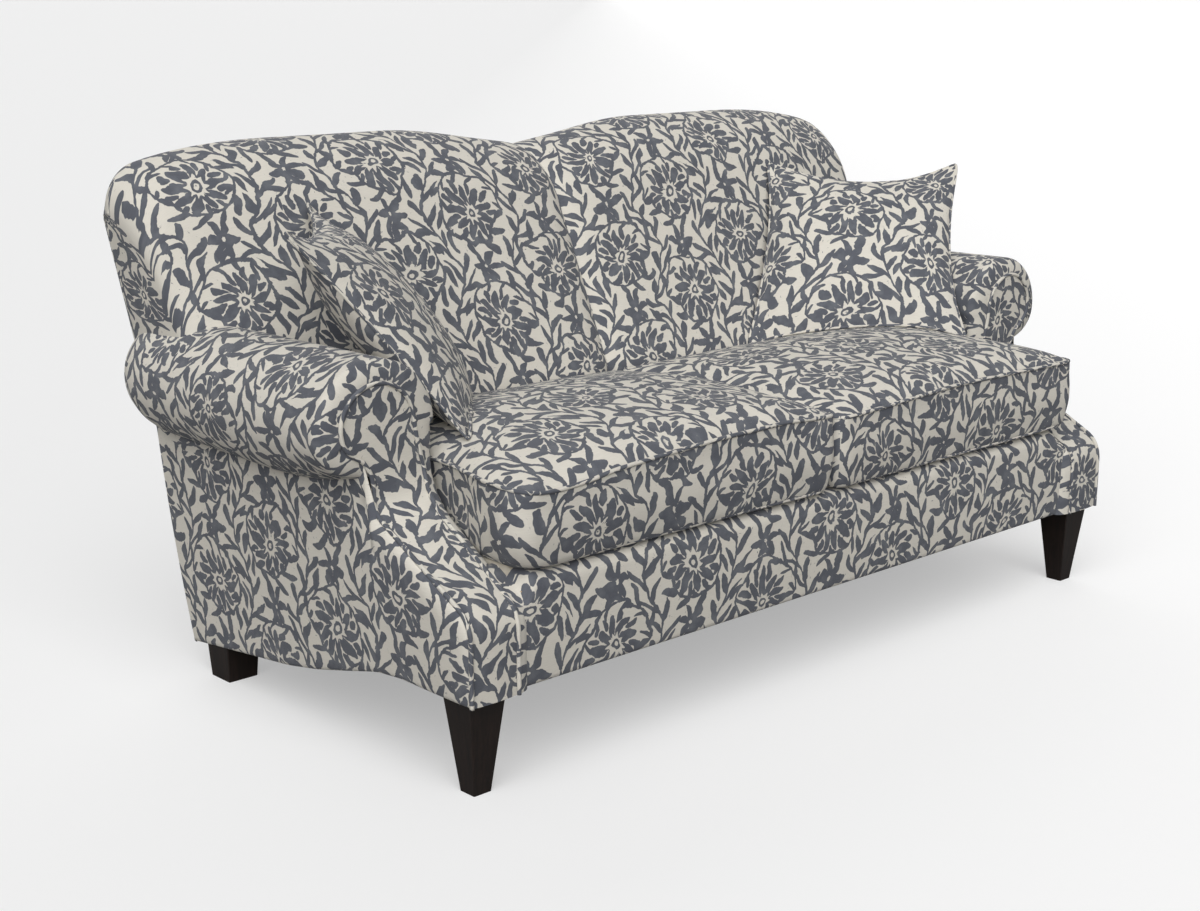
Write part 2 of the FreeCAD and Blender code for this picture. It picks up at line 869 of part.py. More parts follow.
cover_top = number(size["back_pad_top_cover"])
cover_side = number(size["back_pad_side_cover"])
board_hump = hump_outline("back_board_outline", cover_side, cover_top, number(skirt_rear))
board_slab = raked_slab("back_board_slab", board_line, skin_line, rail_low, tall)
keep(common("back_top_rail", board_hump, board_slab))
hollow_slab = raked_slab("back_hollow_slab", web_line, skin_line, skirt_rear, tall)
back_hollow = common("back_hollow", board_hump, hollow_slab)

back_centre_post = padded_body(
    "back_centre_post", "YZ_Plane",
    [
        (board_line(tack_top), tack_top),
        (skin_line(tack_top), tack_top),
        (skin_line(rail_low), rail_low),
        (board_line(rail_low), rail_low),
    ],
    board * 2, symmetric=True,
)
keep(back_centre_post)

# Webbing straps stretched up the front of the back frame

web_count = int(number(rail_half) // number(size["webbing_pitch"]))
web_low = tack_top - size["webbing_low_lap"]
web_high = rail_low + size["webbing_top_lap"]
web_slab = raked_slab("webbing_slab", web_line, board_line, web_low, web_high)
straps = []
for step in range(-web_count + 1, web_count):
    middle = size["webbing_pitch"] * step
    half = size["webbing_width"] / 2
    blank = box(
        "webbing_blank_" + str(step + web_count),
        (middle - half, pad_front, web_low),
        (middle + half, size["overall_depth"] / 2, web_high),
    )
    straps.append(common("webbing_strap_" + str(step + web_count), blank, web_slab))
back_webbing = group("back_webbing", straps)
keep(back_webbing)

# Inside-back pads: the loft, less the frame's hollow behind it and the arms under it

arm_envelope = common("arm_envelope", scroll_form, whole_side)
back_pad = cut("back_pad", back_blank, [back_hollow, arm_envelope])
keep_pair("back_pad", back_pad)

# Sinuous seat springs: half-turn loops joined by straight runs, front rail to back rail

thick = number(size["clip_thickness"])
clip_hold = thick + number(size["clip_play"]) + number(size["wire_diameter"]) / 2
spring_up = number(frame_top) + thick + number(size["wire_diameter"]) / 2


def spring_shape(side):
    """One zigzag spring wire at a distance from the middle."""
    wire = number(size["wire_diameter"])
    up = spring_up
    start = number(border_rear) + clip_hold
    end = number(skin_line(frame_top)) - number(board) / 2 - clip_hold
    loops = int((end - start) // number(size["spring_loop_pitch"]))
    pitch = (end - start) / loops
    reach = number(size["spring_width"]) / 2 - pitch / 2
    edges = []
    hand = 1
    last = FreeCAD.Vector(side - reach * hand, start, up)
    for step in range(loops):
        deep = start + pitch * step
        turn_from = FreeCAD.Vector(side + reach * hand, deep, up)
        turn_mid = FreeCAD.Vector(side + (reach + pitch / 2) * hand, deep + pitch / 2, up)
        turn_to = FreeCAD.Vector(side + reach * hand, deep + pitch, up)
        edges.append(Part.makeLine(last, turn_from))
        edges.append(Part.Arc(turn_from, turn_mid, turn_to).toShape())
        last = turn_to
        hand = -hand
    edges.append(Part.makeLine(last, FreeCAD.Vector(side + reach * hand, end, up)))
    path = Part.Wire(edges)
    first = path.Edges[0]
    direction = first.tangentAt(first.FirstParameter)
    section = Part.Wire(Part.makeCircle(wire / 2, first.valueAt(first.FirstParameter), direction))
    return path.makePipeShell([section], True, False)


spring_count = int(number(rail_half) // number(size["spring_pitch"]))
spring_sides = [number(size["spring_pitch"]) * (step + 0.5) for step in range(spring_count)]
spring_sides = [-side for side in reversed(spring_sides)] + spring_sides
springs = [spring_shape(side) for side in spring_sides]
keep(feature("seat_springs", Part.makeCompound(springs)))


def clip_shape(side, wall, toward):
    """A folded steel clip that holds one end of a spring; it opens towards the seat."""
    low = number(frame_top)
    high = low + 2 * thick + number(size["wire_diameter"])
    length = number(board) / 2
    lip = length * number(size["clip_lip_share"])
    profile = [
        (0, low), (length, low), (length, low + thick), (thick, low + thick),
        (thick, high - thick), (lip, high - thick), (lip, high), (0, high), (0, low),
    ]
    left = side - number(size["clip_width"]) / 2
    points = [FreeCAD.Vector(left, wall + toward * deep, up) for deep, up in profile]
    face = Part.Face(Part.makePolygon(points))
    return face.extrude(FreeCAD.Vector(number(size["clip_width"]), 0, 0))


rear_wall = number(skin_line(frame_top)) - number(board) / 2
clips = [clip_shape(side, number(border_rear), 1) for side in spring_sides]
clips += [clip_shape(side, rear_wall, -1) for side in spring_sides]
keep(feature("spring_clips", Part.makeCompound(clips)))

# Loose seat cushions: boxing with drawn-in sides under a crowned top

cushion_bottom = size["deck_top"] + size["cushion_gap"]
cushion_inner = size["cushion_middle_gap"]
cushion_outer = arm_inside - size["cushion_arm_gap"]
cushion_wide = arm_inside + size["cushion_front_flare"]
cushion_rear = pad_front - size["cushion_back_gap"]
round_pull = math.sqrt(2) - 1


def cushion_wire(up, inset):
    """One level outline of the right-hand cushion, drawn in between its corners."""
    inner = number(cushion_inner)
    outer = number(cushion_outer)
    near = number(front)
    far = number(cushion_rear)
    centre = FreeCAD.Vector((inner + outer) / 2, (near + far) / 2, 0)
    across = 1 - 2 * inset / (outer - inner)
    deep = 1 - 2 * inset / (far - near)
    corners = [
        FreeCAD.Vector(inner, near, 0),
        FreeCAD.Vector(number(cushion_wide), near, 0),
        FreeCAD.Vector(outer, near + number(size["cushion_front_depth"]), 0),
        FreeCAD.Vector(outer, far, 0),
        FreeCAD.Vector(inner, far, 0),
    ]
    radius = number(size["cushion_corner_radius"]) + inset / 2
    radii = [radius, radius, 0, radius, radius]

    def at(spot):
        x = centre.x + (spot.x - centre.x) * across
        y = centre.y + (spot.y - centre.y) * deep
        return FreeCAD.Vector(x, y, up)

    turns = []
    for index, here in enumerate(corners):
        before = corners[index - 1]
        after = corners[(index + 1) % len(corners)]
        arrive = here + (before - here).normalize() * radii[index]
        leave = here + (after - here).normalize() * radii[index]
        bow = here * round_pull + (arrive + leave) * ((1 - round_pull) / 2)
        turns.append((arrive, bow, leave))
    edges = []
    for index, (arrive, bow, leave) in enumerate(turns):
        if radii[index] > 0:
            edges.append(Part.Arc(at(arrive), at(bow), at(leave)).toShape())
        goal = turns[(index + 1) % len(turns)][0]
        run = goal - leave
        if run.Length < number(size["cushion_full_draw_run"]):
            edges.append(Part.makeLine(at(leave), at(goal)))
            continue
        middle = (leave + goal) * 0.5
        inward = FreeCAD.Vector(-run.y, run.x, 0).normalize()
        middle = middle + inward * number(size["cushion_draw_in"])
        edges.append(Part.Arc(at(leave), at(middle), at(goal)).toShape())
    return Part.Wire(edges)


boxing_low = number(cushion_bottom)
boxing_high = boxing_low + number(size["cushion_boxing"])
boxing_turn = boxing_low + number(size["cushion_base_height"])
boxing_levels = [(boxing_low, number(size["cushion_base_inset"])), (boxing_turn, 0), (boxing_high, 0)]
boxing = Part.makeLoft([cushion_wire(up, inset) for up, inset in boxing_levels], True, True)

# Crown: shares of the run in from the welt, and of the height that it has reached there
crown = number(size["cushion_crown"])
crown_run = number(size["cushion_crown_run"])
crown_levels = [(0, 0), (0.12, 0.4), (0.36, 0.74), (0.68, 0.93), (1, 1)]
crown_wires = [cushion_wire(boxing_high + crown * rise, crown_run * run) for run, rise in crown_levels]
dome = Part.makeLoft(crown_wires, True, False)
keep_pair("seat_cushion", feature("seat_cushion", boxing.fuse(dome).removeSplitter()))

# Throw pillows: knife-edged squares, leaning into the corners


def pillow_wire(up, half, pull):
    """One slice of a pillow across its thickness."""
    corners = [
        FreeCAD.Vector(-half, -half, up),
        FreeCAD.Vector(half, -half, up),
        FreeCAD.Vector(half, half, up),
        FreeCAD.Vector(-half, half, up),
    ]
    edges = []
    for index, here in enumerate(corners):
        after = corners[(index + 1) % len(corners)]
        middle = (here + after) * 0.5
        middle.x *= 1 - pull / half
        middle.y *= 1 - pull / half
        edges.append(Part.Arc(here, middle, after).toShape())
    return Part.Wire(edges)


# Slices: shares of the half thickness, of the half size, and of the draw-in of the sides
pillow_levels = [
    (-1, 0.34, -0.25),
    (-0.82, 0.56, -0.1),
    (-0.4, 0.83, 0.35),
    (0, 1, 1),
    (0.4, 0.83, 0.35),
    (0.82, 0.56, -0.1),
    (1, 0.34, -0.25),
]
half_size = number(size["pillow_size"]) / 2
half_thick = number(size["pillow_thickness"]) / 2
pillow_pull = number(size["pillow_draw_in"])
pillow_wires = []
for thickness_share, size_share, pull_share in pillow_levels:
    level = half_thick * thickness_share
    pillow_wires.append(pillow_wire(level, half_size * size_share, pillow_pull * pull_share))
pillow = feature("throw_pillow", Part.makeLoft(pillow_wires, True, False))
up_axis = FreeCAD.Vector(0, 0, 1)
across_axis = FreeCAD.Vector(1, 0, 0)
pose = FreeCAD.Rotation(up_axis, number(size["pillow_yaw_angle"]))
pose = pose.multiply(FreeCAD.Rotation(across_axis, 90 - number(size["pillow_lean_angle"])))
pose = pose.multiply(FreeCAD.Rotation(up_axis, number(size["pillow_roll_angle"])))
seat_crown = boxing_high + crown
place = FreeCAD.Vector(
    number(arm_inside - size["pillow_side_inset"]),
    number(pad_front - size["pillow_back_inset"]),
    seat_crown + number(size["pillow_rise"]),
)
pillow.Placement = FreeCAD.Placement(place, pose)
keep_pair("throw_pillow", pillow)

# Check every piece, then write it

doc.recompute()
for item in doc.Objects:
    if "Invalid" in item.State or "Error" in item.State:
        raise RuntimeError("failed object: " + item.Label)
os.makedirs("parts", exist_ok=True)
for piece in pieces:
    if piece.Shape.isNull() or not piece.Shape.isValid():
        raise RuntimeError("bad shape: " + piece.Label)
    piece.Shape.exportStep("parts/" + piece.Label + ".step")
    print(piece.Label, len(piece.Shape.Solids), round(piece.Shape.Volume / 1000))
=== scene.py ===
"""Dress a two-seat scroll-arm sofa: printed linen upholstery, loose cushions, dark tapered legs."""

import logging
import math
from dataclasses import dataclass, field
from enum import Enum
from typing import Any, Callable, Sequence

import bpy
from mathutils.bvhtree import BVHTree
import numpy as np
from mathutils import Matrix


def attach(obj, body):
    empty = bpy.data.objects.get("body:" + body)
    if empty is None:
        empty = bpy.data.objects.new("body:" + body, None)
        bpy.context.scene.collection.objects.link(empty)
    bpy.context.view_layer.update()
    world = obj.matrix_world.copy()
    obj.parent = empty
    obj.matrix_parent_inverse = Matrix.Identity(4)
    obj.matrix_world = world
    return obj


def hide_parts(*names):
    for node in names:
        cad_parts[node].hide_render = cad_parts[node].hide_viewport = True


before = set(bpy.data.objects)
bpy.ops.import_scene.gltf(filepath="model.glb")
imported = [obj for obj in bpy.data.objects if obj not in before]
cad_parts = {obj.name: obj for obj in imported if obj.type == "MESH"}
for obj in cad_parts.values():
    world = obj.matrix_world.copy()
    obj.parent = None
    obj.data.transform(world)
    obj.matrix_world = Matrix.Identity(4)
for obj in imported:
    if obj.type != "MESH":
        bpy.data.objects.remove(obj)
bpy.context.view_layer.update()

log = logging.getLogger("sofa")
TURN = 2 * math.pi


class Hand(Enum):
    """The side of the sofa that a piece belongs to, seen from the front."""

    RIGHT = 1
    LEFT = -1

    @property
    def word(self) -> str:
        """The side's word as the frame's nodes spell it."""
        return self.name.lower()


class Slot(Enum):
    """Material slots of the frame's record."""

    LINEN = "printed_linen"
    DECK = "deck_cloth"
    CAMBRIC = "cambric"


# Shader arithmetic


class Term:
    """A shader value that can be used in arithmetic."""

    def __init__(self, tree: Any, socket: Any) -> None:
        """Wrap an output socket of a node tree."""
        self.tree = tree
        self.socket = socket

    def math(self, operation: str, *others: "Term | float") -> "Term":
        """Add one Math node.

        Args:
            operation: The node's operation.
            others: The second and third operands, as terms or plain numbers.

        Returns:
            The node's result.
        """
        node = self.tree.nodes.new("ShaderNodeMath")
        node.operation = operation
        for index, operand in enumerate((self, *others)):
            if isinstance(operand, Term):
                self.tree.links.new(operand.socket, node.inputs[index])
            else:
                node.inputs[index].default_value = operand
        return Term(self.tree, node.outputs[0])

    def __add__(self, other: "Term | float") -> "Term":
        """Sum."""
        return self.math("ADD", other)

    __radd__ = __add__

    def __mul__(self, other: "Term | float") -> "Term":
        """Product."""
        return self.math("MULTIPLY", other)

    __rmul__ = __mul__

    def __sub__(self, other: "Term | float") -> "Term":
        """Difference."""
        return self.math("SUBTRACT", other)

    def __rsub__(self, other: float) -> "Term":
        """Difference from a plain number."""
        return self.math("MULTIPLY_ADD", -1.0, other)

    def __truediv__(self, other: "Term | float") -> "Term":
        """Quotient."""
        return self.math("DIVIDE", other)

    def __abs__(self) -> "Term":
        """Size without sign."""
        return self.math("ABSOLUTE")

    def most(self, other: "Term | float") -> "Term":
        """The larger of two values."""
        return self.math("MAXIMUM", other)

    def least(self, other: "Term | float") -> "Term":
        """The smaller of two values."""
        return self.math("MINIMUM", other)

    def root(self) -> "Term":
        """Square root."""
        return self.math("SQRT")

    def sine(self) -> "Term":
        """Sine of an angle in radians."""
        return self.math("SINE")

    def floor(self) -> "Term":
        """Whole part."""
        return self.math("FLOOR")

    def angle(self, across: "Term") -> "Term":
        """Angle of the point (across, self)."""
        return self.math("ARCTAN2", across)

    def off_whole(self) -> "Term":
        """Signed distance from the nearest whole number."""
        return (self + 0.5).math("FRACT") - 0.5

    def hump(self) -> "Term":
        """An arch that is 1 at a half and 0 at 0 and 1 and outside."""
        inside = self.most(0.0).least(1.0)
        return inside * (1 - inside) * 4

    def rise(self, low: float, high: float) -> "Term":
        """0 below low, 1 above high, and a straight ramp between."""
        return ((self - low) * (1 / (high - low))).most(0.0).least(1.0)


class Shader:
    """A material under construction, with one surface shader."""

    def __init__(self, name: str) -> None:
        """Start an empty node material."""
        self.material = bpy.data.materials.new(name)
        self.material.use_nodes = True
        self.tree = self.material.node_tree
        self.tree.nodes.clear()

    def add(self, kind: str, settings: dict[str, Any] | None = None,
            inputs: dict[Any, Any] | None = None) -> Any:
        """Add a node.

        Args:
            kind: The node's type.
            settings: Properties, set before the sockets.
            inputs: Values, terms or sockets by input name or number.

        Returns:
            The node.
        """
        node = self.tree.nodes.new(kind)
        for key, setting in (settings or {}).items():
            setattr(node, key, setting)
        for key, given in (inputs or {}).items():
            source = given.socket if isinstance(given, Term) else given
            if isinstance(source, bpy.types.NodeSocket):
                self.tree.links.new(source, node.inputs[key])
            else:
                node.inputs[key].default_value = source
        return node

    def term(self, node: Any, output: Any = 0) -> Term:
        """An output of a node as a term."""
        return Term(self.tree, node.outputs[output])

    def noise(self, place: Any, scale: float, detail: float = 2.0) -> Term:
        """Soft noise around one half."""
        settings = {"noise_dimensions": "3D"}
        node = self.add("ShaderNodeTexNoise", settings, {"Vector": place, "Scale": scale, "Detail": detail})
        return self.term(node)

    def blend(self, share: Term | float, first: Any, second: Any) -> Any:
        """A colour between two colours."""
        node = self.add("ShaderNodeMix", {"data_type": "RGBA"}, {0: share, 6: first, 7: second})
        return node.outputs[2]

    def stretch(self, place: Any, factors: tuple[float, float, float]) -> Any:
        """A place with each axis scaled."""
        node = self.add("ShaderNodeVectorMath", {"operation": "MULTIPLY"}, {0: place, 1: factors})
        return node.outputs[0]

    def bump(self, height: Term, depth: float) -> Any:
        """A normal from a height of 0 to 1 and its depth in metres."""
        node = self.add("ShaderNodeBump", None, {"Strength": 1.0, "Distance": depth, "Height": height})
        return node.outputs[0]

    def finish(self, **sockets: Any) -> bpy.types.Material:
        """Add the surface shader.

        Args:
            sockets: Values or links of the shader's sockets, with _ for a space.

        Returns:
            The material.
        """
        inputs = {key.replace("_", " "): given for key, given in sockets.items()}
        surface = self.add("ShaderNodeBsdfPrincipled", None, inputs)
        self.add("ShaderNodeOutputMaterial", None, {"Surface": surface.outputs[0]})
        return self.material


def ink(red: int, green: int, blue: int) -> tuple[float, float, float, float]:
    """A colour from its 0 to 255 screen values."""

    def linear(level: int) -> float:
        """One channel in light."""
        share = level / 255
        return share / 12.92 if share <= 0.04045 else ((share + 0.055) / 1.055) ** 2.4

    return (linear(red), linear(green), linear(blue), 1.0)


# Finishes


@dataclass(frozen=True)
class BlockPrint:
    """A two-tone scrolling vine with rosettes, drawn in centimetres on the cloth."""

    size: float = 0.60
    column: float = 28.0
    drop: float = 34.0
    petals: int = 9
    scroll_radius: float = 10.6
    scroll_leaves: int = 11
    vine_leaves: int = 5
    sway: float = 6.4
    petal: tuple[float, float] = (7.2, 1.5)
    tip: tuple[float, float] = (4.2, 1.12)
    leaf: tuple[float, float] = (5.4, 1.48)
    bud: tuple[float, float] = (3.4, 1.0)
    vine_leaf: tuple[float, float] = (5.8, 1.5)
    star: tuple[float, float] = (5.4, 1.35)
    star_points: int = 6
    thinning: float = 0.12

    def blade(self, along: Term, across: Term, length: float, width: float) -> Term:
        """Positive inside a leaf that starts at 0 and ends at its length."""
        return (along * (1 / length)).hump().root() * width - abs(across) - self.thinning

    def ink(self, shader: Shader, cloth: Any) -> Term:
        """Where the print is dark.

        Args:
            shader: The material to draw in.
            cloth: The place on the cloth in metres.

        Returns:
            1 on the print and 0 on the ground.
        """
        split = shader.add("ShaderNodeSeparateXYZ", None, {0: cloth})
        sway = shader.add("ShaderNodeTexNoise", {"noise_dimensions": "3D"},
                          {"Vector": cloth, "Scale": 11.0 / self.size, "Detail": 1.0})
        parts = shader.add("ShaderNodeSeparateXYZ", None, {0: sway.outputs[1]})
        across = shader.term(split, 0) * (100 / self.size) + (shader.term(parts, 0) - 0.5) * self.sway
        up = shader.term(split, 1) * (100 / self.size) + (shader.term(parts, 1) - 0.5) * self.sway

        column = across * (1 / self.column)
        row = up * (1 / self.drop)
        odd = abs(((column + 0.5).floor() * 0.5).off_whole()) * 2
        x = column.off_whole() * self.column * (1 - odd * 2)
        y = (row + odd * 0.5).off_whole() * self.drop
        reach = (x * x + y * y).root()
        angle = y.angle(x)

        turn = angle * (self.petals / TURN) + (reach * 0.55).sine() * 0.09
        arc = reach * (TURN / self.petals)
        side = turn.off_whole() * arc
        petal = self.blade(reach - 1.7, side, *self.petal).least(abs(side) + reach * 0.5 - 1.82)
        tip = self.blade(reach - 5.8, (turn + 0.5).off_whole() * arc, *self.tip)
        eye = 0.42 - abs(reach - 1.15)
        print_field = petal.most(tip).most(eye)

        out = reach - self.scroll_radius - angle * 0.72
        spin = angle * (self.scroll_leaves / TURN)
        gap = reach * (TURN / self.scroll_leaves)
        leaf = self.blade(out + 0.6, (spin + out * 0.12).off_whole() * gap, *self.leaf)
        bud = self.blade(0.6 - out, (spin + 0.5 - out * 0.15).off_whole() * gap, *self.bud)
        print_field = print_field.most(0.46 - abs(out)).most(leaf).most(bud.least(reach - 7.8))

        mirror = abs((column.floor() * 0.5).off_whole()) * 2
        bend = (up * (TURN / self.drop) + TURN / 4).sine() * (1 - mirror * 2) * 3.7
        aside = (column - 0.5).off_whole() * self.column - bend
        vine = 0.5 - abs(aside)
        pitch = self.drop / self.vine_leaves
        for hand, phase in ((1, 0.0), (-1, 0.5)):
            away = aside * hand
            place = (up * (1 / pitch) + phase - away * 0.15).off_whole() * pitch
            vine = vine.most(self.blade(away + 0.6, place, *self.vine_leaf))
        print_field = print_field.most(vine.least(reach - 12.6))

        low = (row + odd * 0.5 + 0.5).off_whole() * self.drop
        far = (x * x + low * low).root()
        ray = low.angle(x) * (self.star_points / TURN) + (far * 0.5).sine() * 0.2
        aside = ray.off_whole() * far * (TURN / self.star_points)
        print_field = print_field.most(self.blade(far - 0.5, aside, *self.star).least(reach - 11.8))

        rough = shader.noise(cloth, 75.0 / self.size, 1.0)
        return (print_field + (rough - 0.5) * 0.85).rise(-0.05, 0.05)


@dataclass(frozen=True)
class PrintedLinen:
    """Matte cotton and linen cloth with the block print."""

    ground: tuple[float, float, float, float] = ink(222, 217, 206)
    dark: tuple[float, float, float, float] = ink(93, 96, 104)
    worn: tuple[float, float, float, float] = ink(118, 121, 127)
    thread: float = 0.0011
    pattern: BlockPrint = BlockPrint()

    def material(self) -> bpy.types.Material:
        """Build the cloth's material."""
        shader = Shader("printed_linen")
        cloth = shader.add("ShaderNodeUVMap", {"uv_map": "cloth"}).outputs[0]
        mask = self.pattern.ink(shader, cloth)
        split = shader.add("ShaderNodeSeparateXYZ", None, {0: cloth})
        warp = (shader.term(split, 0) * (TURN / self.thread)).sine()
        weft = (shader.term(split, 1) * (TURN / self.thread)).sine()
        weave = warp * weft * 0.5 + 0.5
        slub = shader.noise(shader.stretch(cloth, (60.0, 900.0, 1.0)), 1.0, 1.0)
        patch = shader.noise(cloth, 38.0, 3.0)
        dark = shader.blend(patch.rise(0.46, 0.74) * 0.8, self.dark, self.worn)
        colour = shader.blend(mask, self.ground, dark)
        shade = 0.95 + (weave - 0.5) * 0.05 + (slub - 0.5) * 0.16
        tint = shader.add("ShaderNodeCombineXYZ", None, {0: shade, 1: shade, 2: shade})
        toned = shader.add("ShaderNodeVectorMath", {"operation": "MULTIPLY"}, {0: colour, 1: tint.outputs[0]})
        normal = shader.bump(weave * 0.7 + slub * 0.3, 0.00025)
        return shader.finish(Base_Color=toned.outputs[0], Roughness=0.92, Sheen_Weight=0.12,
                             Sheen_Roughness=0.5, Specular_IOR_Level=0.25, Normal=normal)


@dataclass(frozen=True)
class PlainCloth:
    """An undyed or dyed plain-woven cloth, mapped by its place in the sofa."""

    name: str
    light: tuple[float, float, float, float]
    dark: tuple[float, float, float, float]
    thread: float = 0.0016

    def material(self) -> bpy.types.Material:
        """Build the cloth's material."""
        shader = Shader(self.name)
        place = shader.add("ShaderNodeTexCoord").outputs["Object"]
        split = shader.add("ShaderNodeSeparateXYZ", None, {0: place})
        warp = (shader.term(split, 0) * (TURN / self.thread)).sine()
        weft = ((shader.term(split, 1) + shader.term(split, 2)) * (TURN / self.thread)).sine()
        weave = warp * weft * 0.5 + 0.5
        cloud = shader.noise(place, 30.0, 3.0)
        colour = shader.blend((weave * 0.5 + cloud * 0.5), self.dark, self.light)
        return shader.finish(Base_Color=colour, Roughness=0.9, Specular_IOR_Level=0.2,
                             Normal=shader.bump(weave, 0.0003))


@dataclass(frozen=True)
class Timber:
    """Wood with its grain along one axis."""

    name: str
    light: tuple[float, float, float, float]
    dark: tuple[float, float, float, float]
    grain: tuple[float, float, float]
    roughness: float
    coat: float

    def material(self) -> bpy.types.Material:
        """Build the wood's material."""
        shader = Shader(self.name)
        place = shader.add("ShaderNodeTexCoord").outputs["Object"]
        long_grain = shader.noise(shader.stretch(place, self.grain), 1.0, 4.0)
        pores = shader.noise(shader.stretch(place, tuple(4 * axis for axis in self.grain)), 1.0, 2.0)
        share = (long_grain * 0.7 + pores * 0.3).rise(0.34, 0.66)
        colour = shader.blend(share, self.dark, self.light)
        rough = self.roughness + (pores - 0.5) * 0.2
        return shader.finish(Base_Color=colour, Roughness=rough, Coat_Weight=self.coat, Coat_Roughness=0.25,
                             Normal=shader.bump(pores, 0.00015))


@dataclass(frozen=True)
class SpringSteel:
    """Drawn wire with a thin oil film."""

    colour: tuple[float, float, float, float] = ink(120, 118, 114)

    def material(self) -> bpy.types.Material:
        """Build the steel's material."""
        shader = Shader("spring_steel")
        place = shader.add("ShaderNodeTexCoord").outputs["Object"]
        scale = shader.noise(place, 120.0, 3.0)
        colour = shader.blend(scale, self.colour, ink(92, 88, 84))
        return shader.finish(Base_Color=colour, Metallic=1.0, Roughness=0.3 + scale * 0.25,
                             Normal=shader.bump(scale, 0.0001))


# Mesh building


class Shell:
    """A surface sewn from grids of points, each grid with its place on the cloth."""

    def __init__(self, name: str) -> None:
        """Start an empty surface."""
        self.name = name
        self.points: list[np.ndarray] = []
        self.quads: list[np.ndarray] = []
        self.cloth: list[np.ndarray] = []
        self.count = 0

    def grid(self, points: np.ndarray, cloth: np.ndarray, flip: bool = False) -> None:
        """Add a grid of points.

        Args:
            points: Rows of columns of x, y, z.
            cloth: Rows of columns of the place on the cloth.
            flip: Turn the faces over.
        """
        rows, columns = points.shape[:2]
        index = np.arange(rows * columns).reshape(rows, columns)
        corners = [index[:-1, :-1], index[:-1, 1:], index[1:, 1:], index[1:, :-1]]
        quads = np.stack(corners[::-1] if flip else corners, axis=-1).reshape(-1, 4)
        self.points.append(points.reshape(-1, 3))
        self.cloth.append(cloth.reshape(-1, 2)[quads])
        self.quads.append(quads + self.count)
        self.count += rows * columns

    def build(self, material: bpy.types.Material, weld: float = 2e-5) -> bpy.types.Object:
        """Make the object, with points that coincide joined.

        Args:
            material: The finish.
            weld: How near points are joined, in metres.

        Returns:
            The object, linked to the scene.
        """
        points = np.concatenate(self.points)
        quads = np.concatenate(self.quads)
        cloth = np.concatenate(self.cloth)
        keys, first, same = np.unique(np.round(points / weld).astype(np.int64), axis=0,
                                      return_index=True, return_inverse=True)
        quads = same.reshape(-1)[quads]
        faces, places = [], []
        for face, spots in zip(quads.tolist(), cloth.tolist()):
            kept = [at for at in range(4) if face[at] != face[at - 1]]
            if len({face[at] for at in kept}) >= 3:
                faces.append([face[at] for at in kept])
                places.extend(spots[at] for at in kept)
        mesh = bpy.data.meshes.new(self.name)
        mesh.from_pydata(points[first].tolist(), [], faces)
        layer = mesh.uv_layers.new(name="cloth")
        layer.data.foreach_set("uv", np.array(places, dtype=np.float32).ravel())
        mesh.polygons.foreach_set("use_smooth", [True] * len(mesh.polygons))
        mesh.materials.append(material)
        mesh.update()
        piece = bpy.data.objects.new(self.name, mesh)
        bpy.context.scene.collection.objects.link(piece)
        return piece


def spaced(start: float, end: float, count: int, ease: tuple[bool, bool] = (False, False)) -> np.ndarray:
    """Numbers from start to end, closer together at the eased ends."""
    share = np.linspace(0, 1, count)
    if ease == (True, True):
        share = (1 - np.cos(share * math.pi)) / 2
    elif ease[0]:
        share = 1 - np.cos(share * math.pi / 2)
    elif ease[1]:
        share = np.sin(share * math.pi / 2)
    return start + (end - start) * share


def smooth(value: np.ndarray, low: float, high: float) -> np.ndarray:
    """0 below low, 1 above high, and a soft step between."""
    share = np.clip((value - low) / (high - low), 0, 1)
    return share * share * (3 - 2 * share)


def bow(value: np.ndarray) -> np.ndarray:
    """A quarter round: 0 at 0 with an upright start, and 1 from 1 on."""
    return np.sqrt(np.clip(1 - (1 - np.clip(value, 0, 1)) ** 2, 0, 1))


def lengths(path: np.ndarray) -> np.ndarray:
    """Distance run along a line of points."""
    steps = np.linalg.norm(np.diff(path, axis=0), axis=1)
    return np.concatenate([[0.0], np.cumsum(steps)])


def rounded_line(corners: Sequence[tuple[float, float]], radii: dict[int, float], step: float) -> np.ndarray:
    """A line through corners, some of them rounded.

    Args:
        corners: The corners in a plane.
        radii: Fillet radius by corner number.
        step: How far apart the points of a fillet are.

    Returns:
        The points of the line.
    """
    points = []
    for number, corner in enumerate(corners):
        here = np.array(corner, float)
        if number not in radii:
            points.append(here)
            continue
        back = np.array(corners[number - 1], float) - here
        ahead = np.array(corners[number + 1], float) - here
        back /= np.linalg.norm(back)
        ahead /= np.linalg.norm(ahead)
        half = math.acos(float(np.clip(back @ ahead, -1, 1))) / 2
        run = radii[number] / math.tan(half)
        centre = here + (back + ahead) / np.linalg.norm(back + ahead) * radii[number] / math.sin(half)
        first, last = here + back * run - centre, here + ahead * run - centre
        sweep = math.atan2(first[0] * last[1] - first[1] * last[0], first @ last)
        for share in np.linspace(0, 1, max(3, int(abs(sweep) * radii[number] / step) + 1)):
            turn = sweep * share
            points.append(centre + np.array([first[0] * math.cos(turn) - first[1] * math.sin(turn),
                                             first[0] * math.sin(turn) + first[1] * math.cos(turn)]))
    return np.array(points)


def resample(path: np.ndarray, count: int) -> np.ndarray:
    """A line again, with evenly spaced points."""
    run = lengths(path)
    at = np.linspace(0, run[-1], count)
    return np.stack([np.interp(at, run, path[:, axis]) for axis in range(path.shape[1])], axis=1)


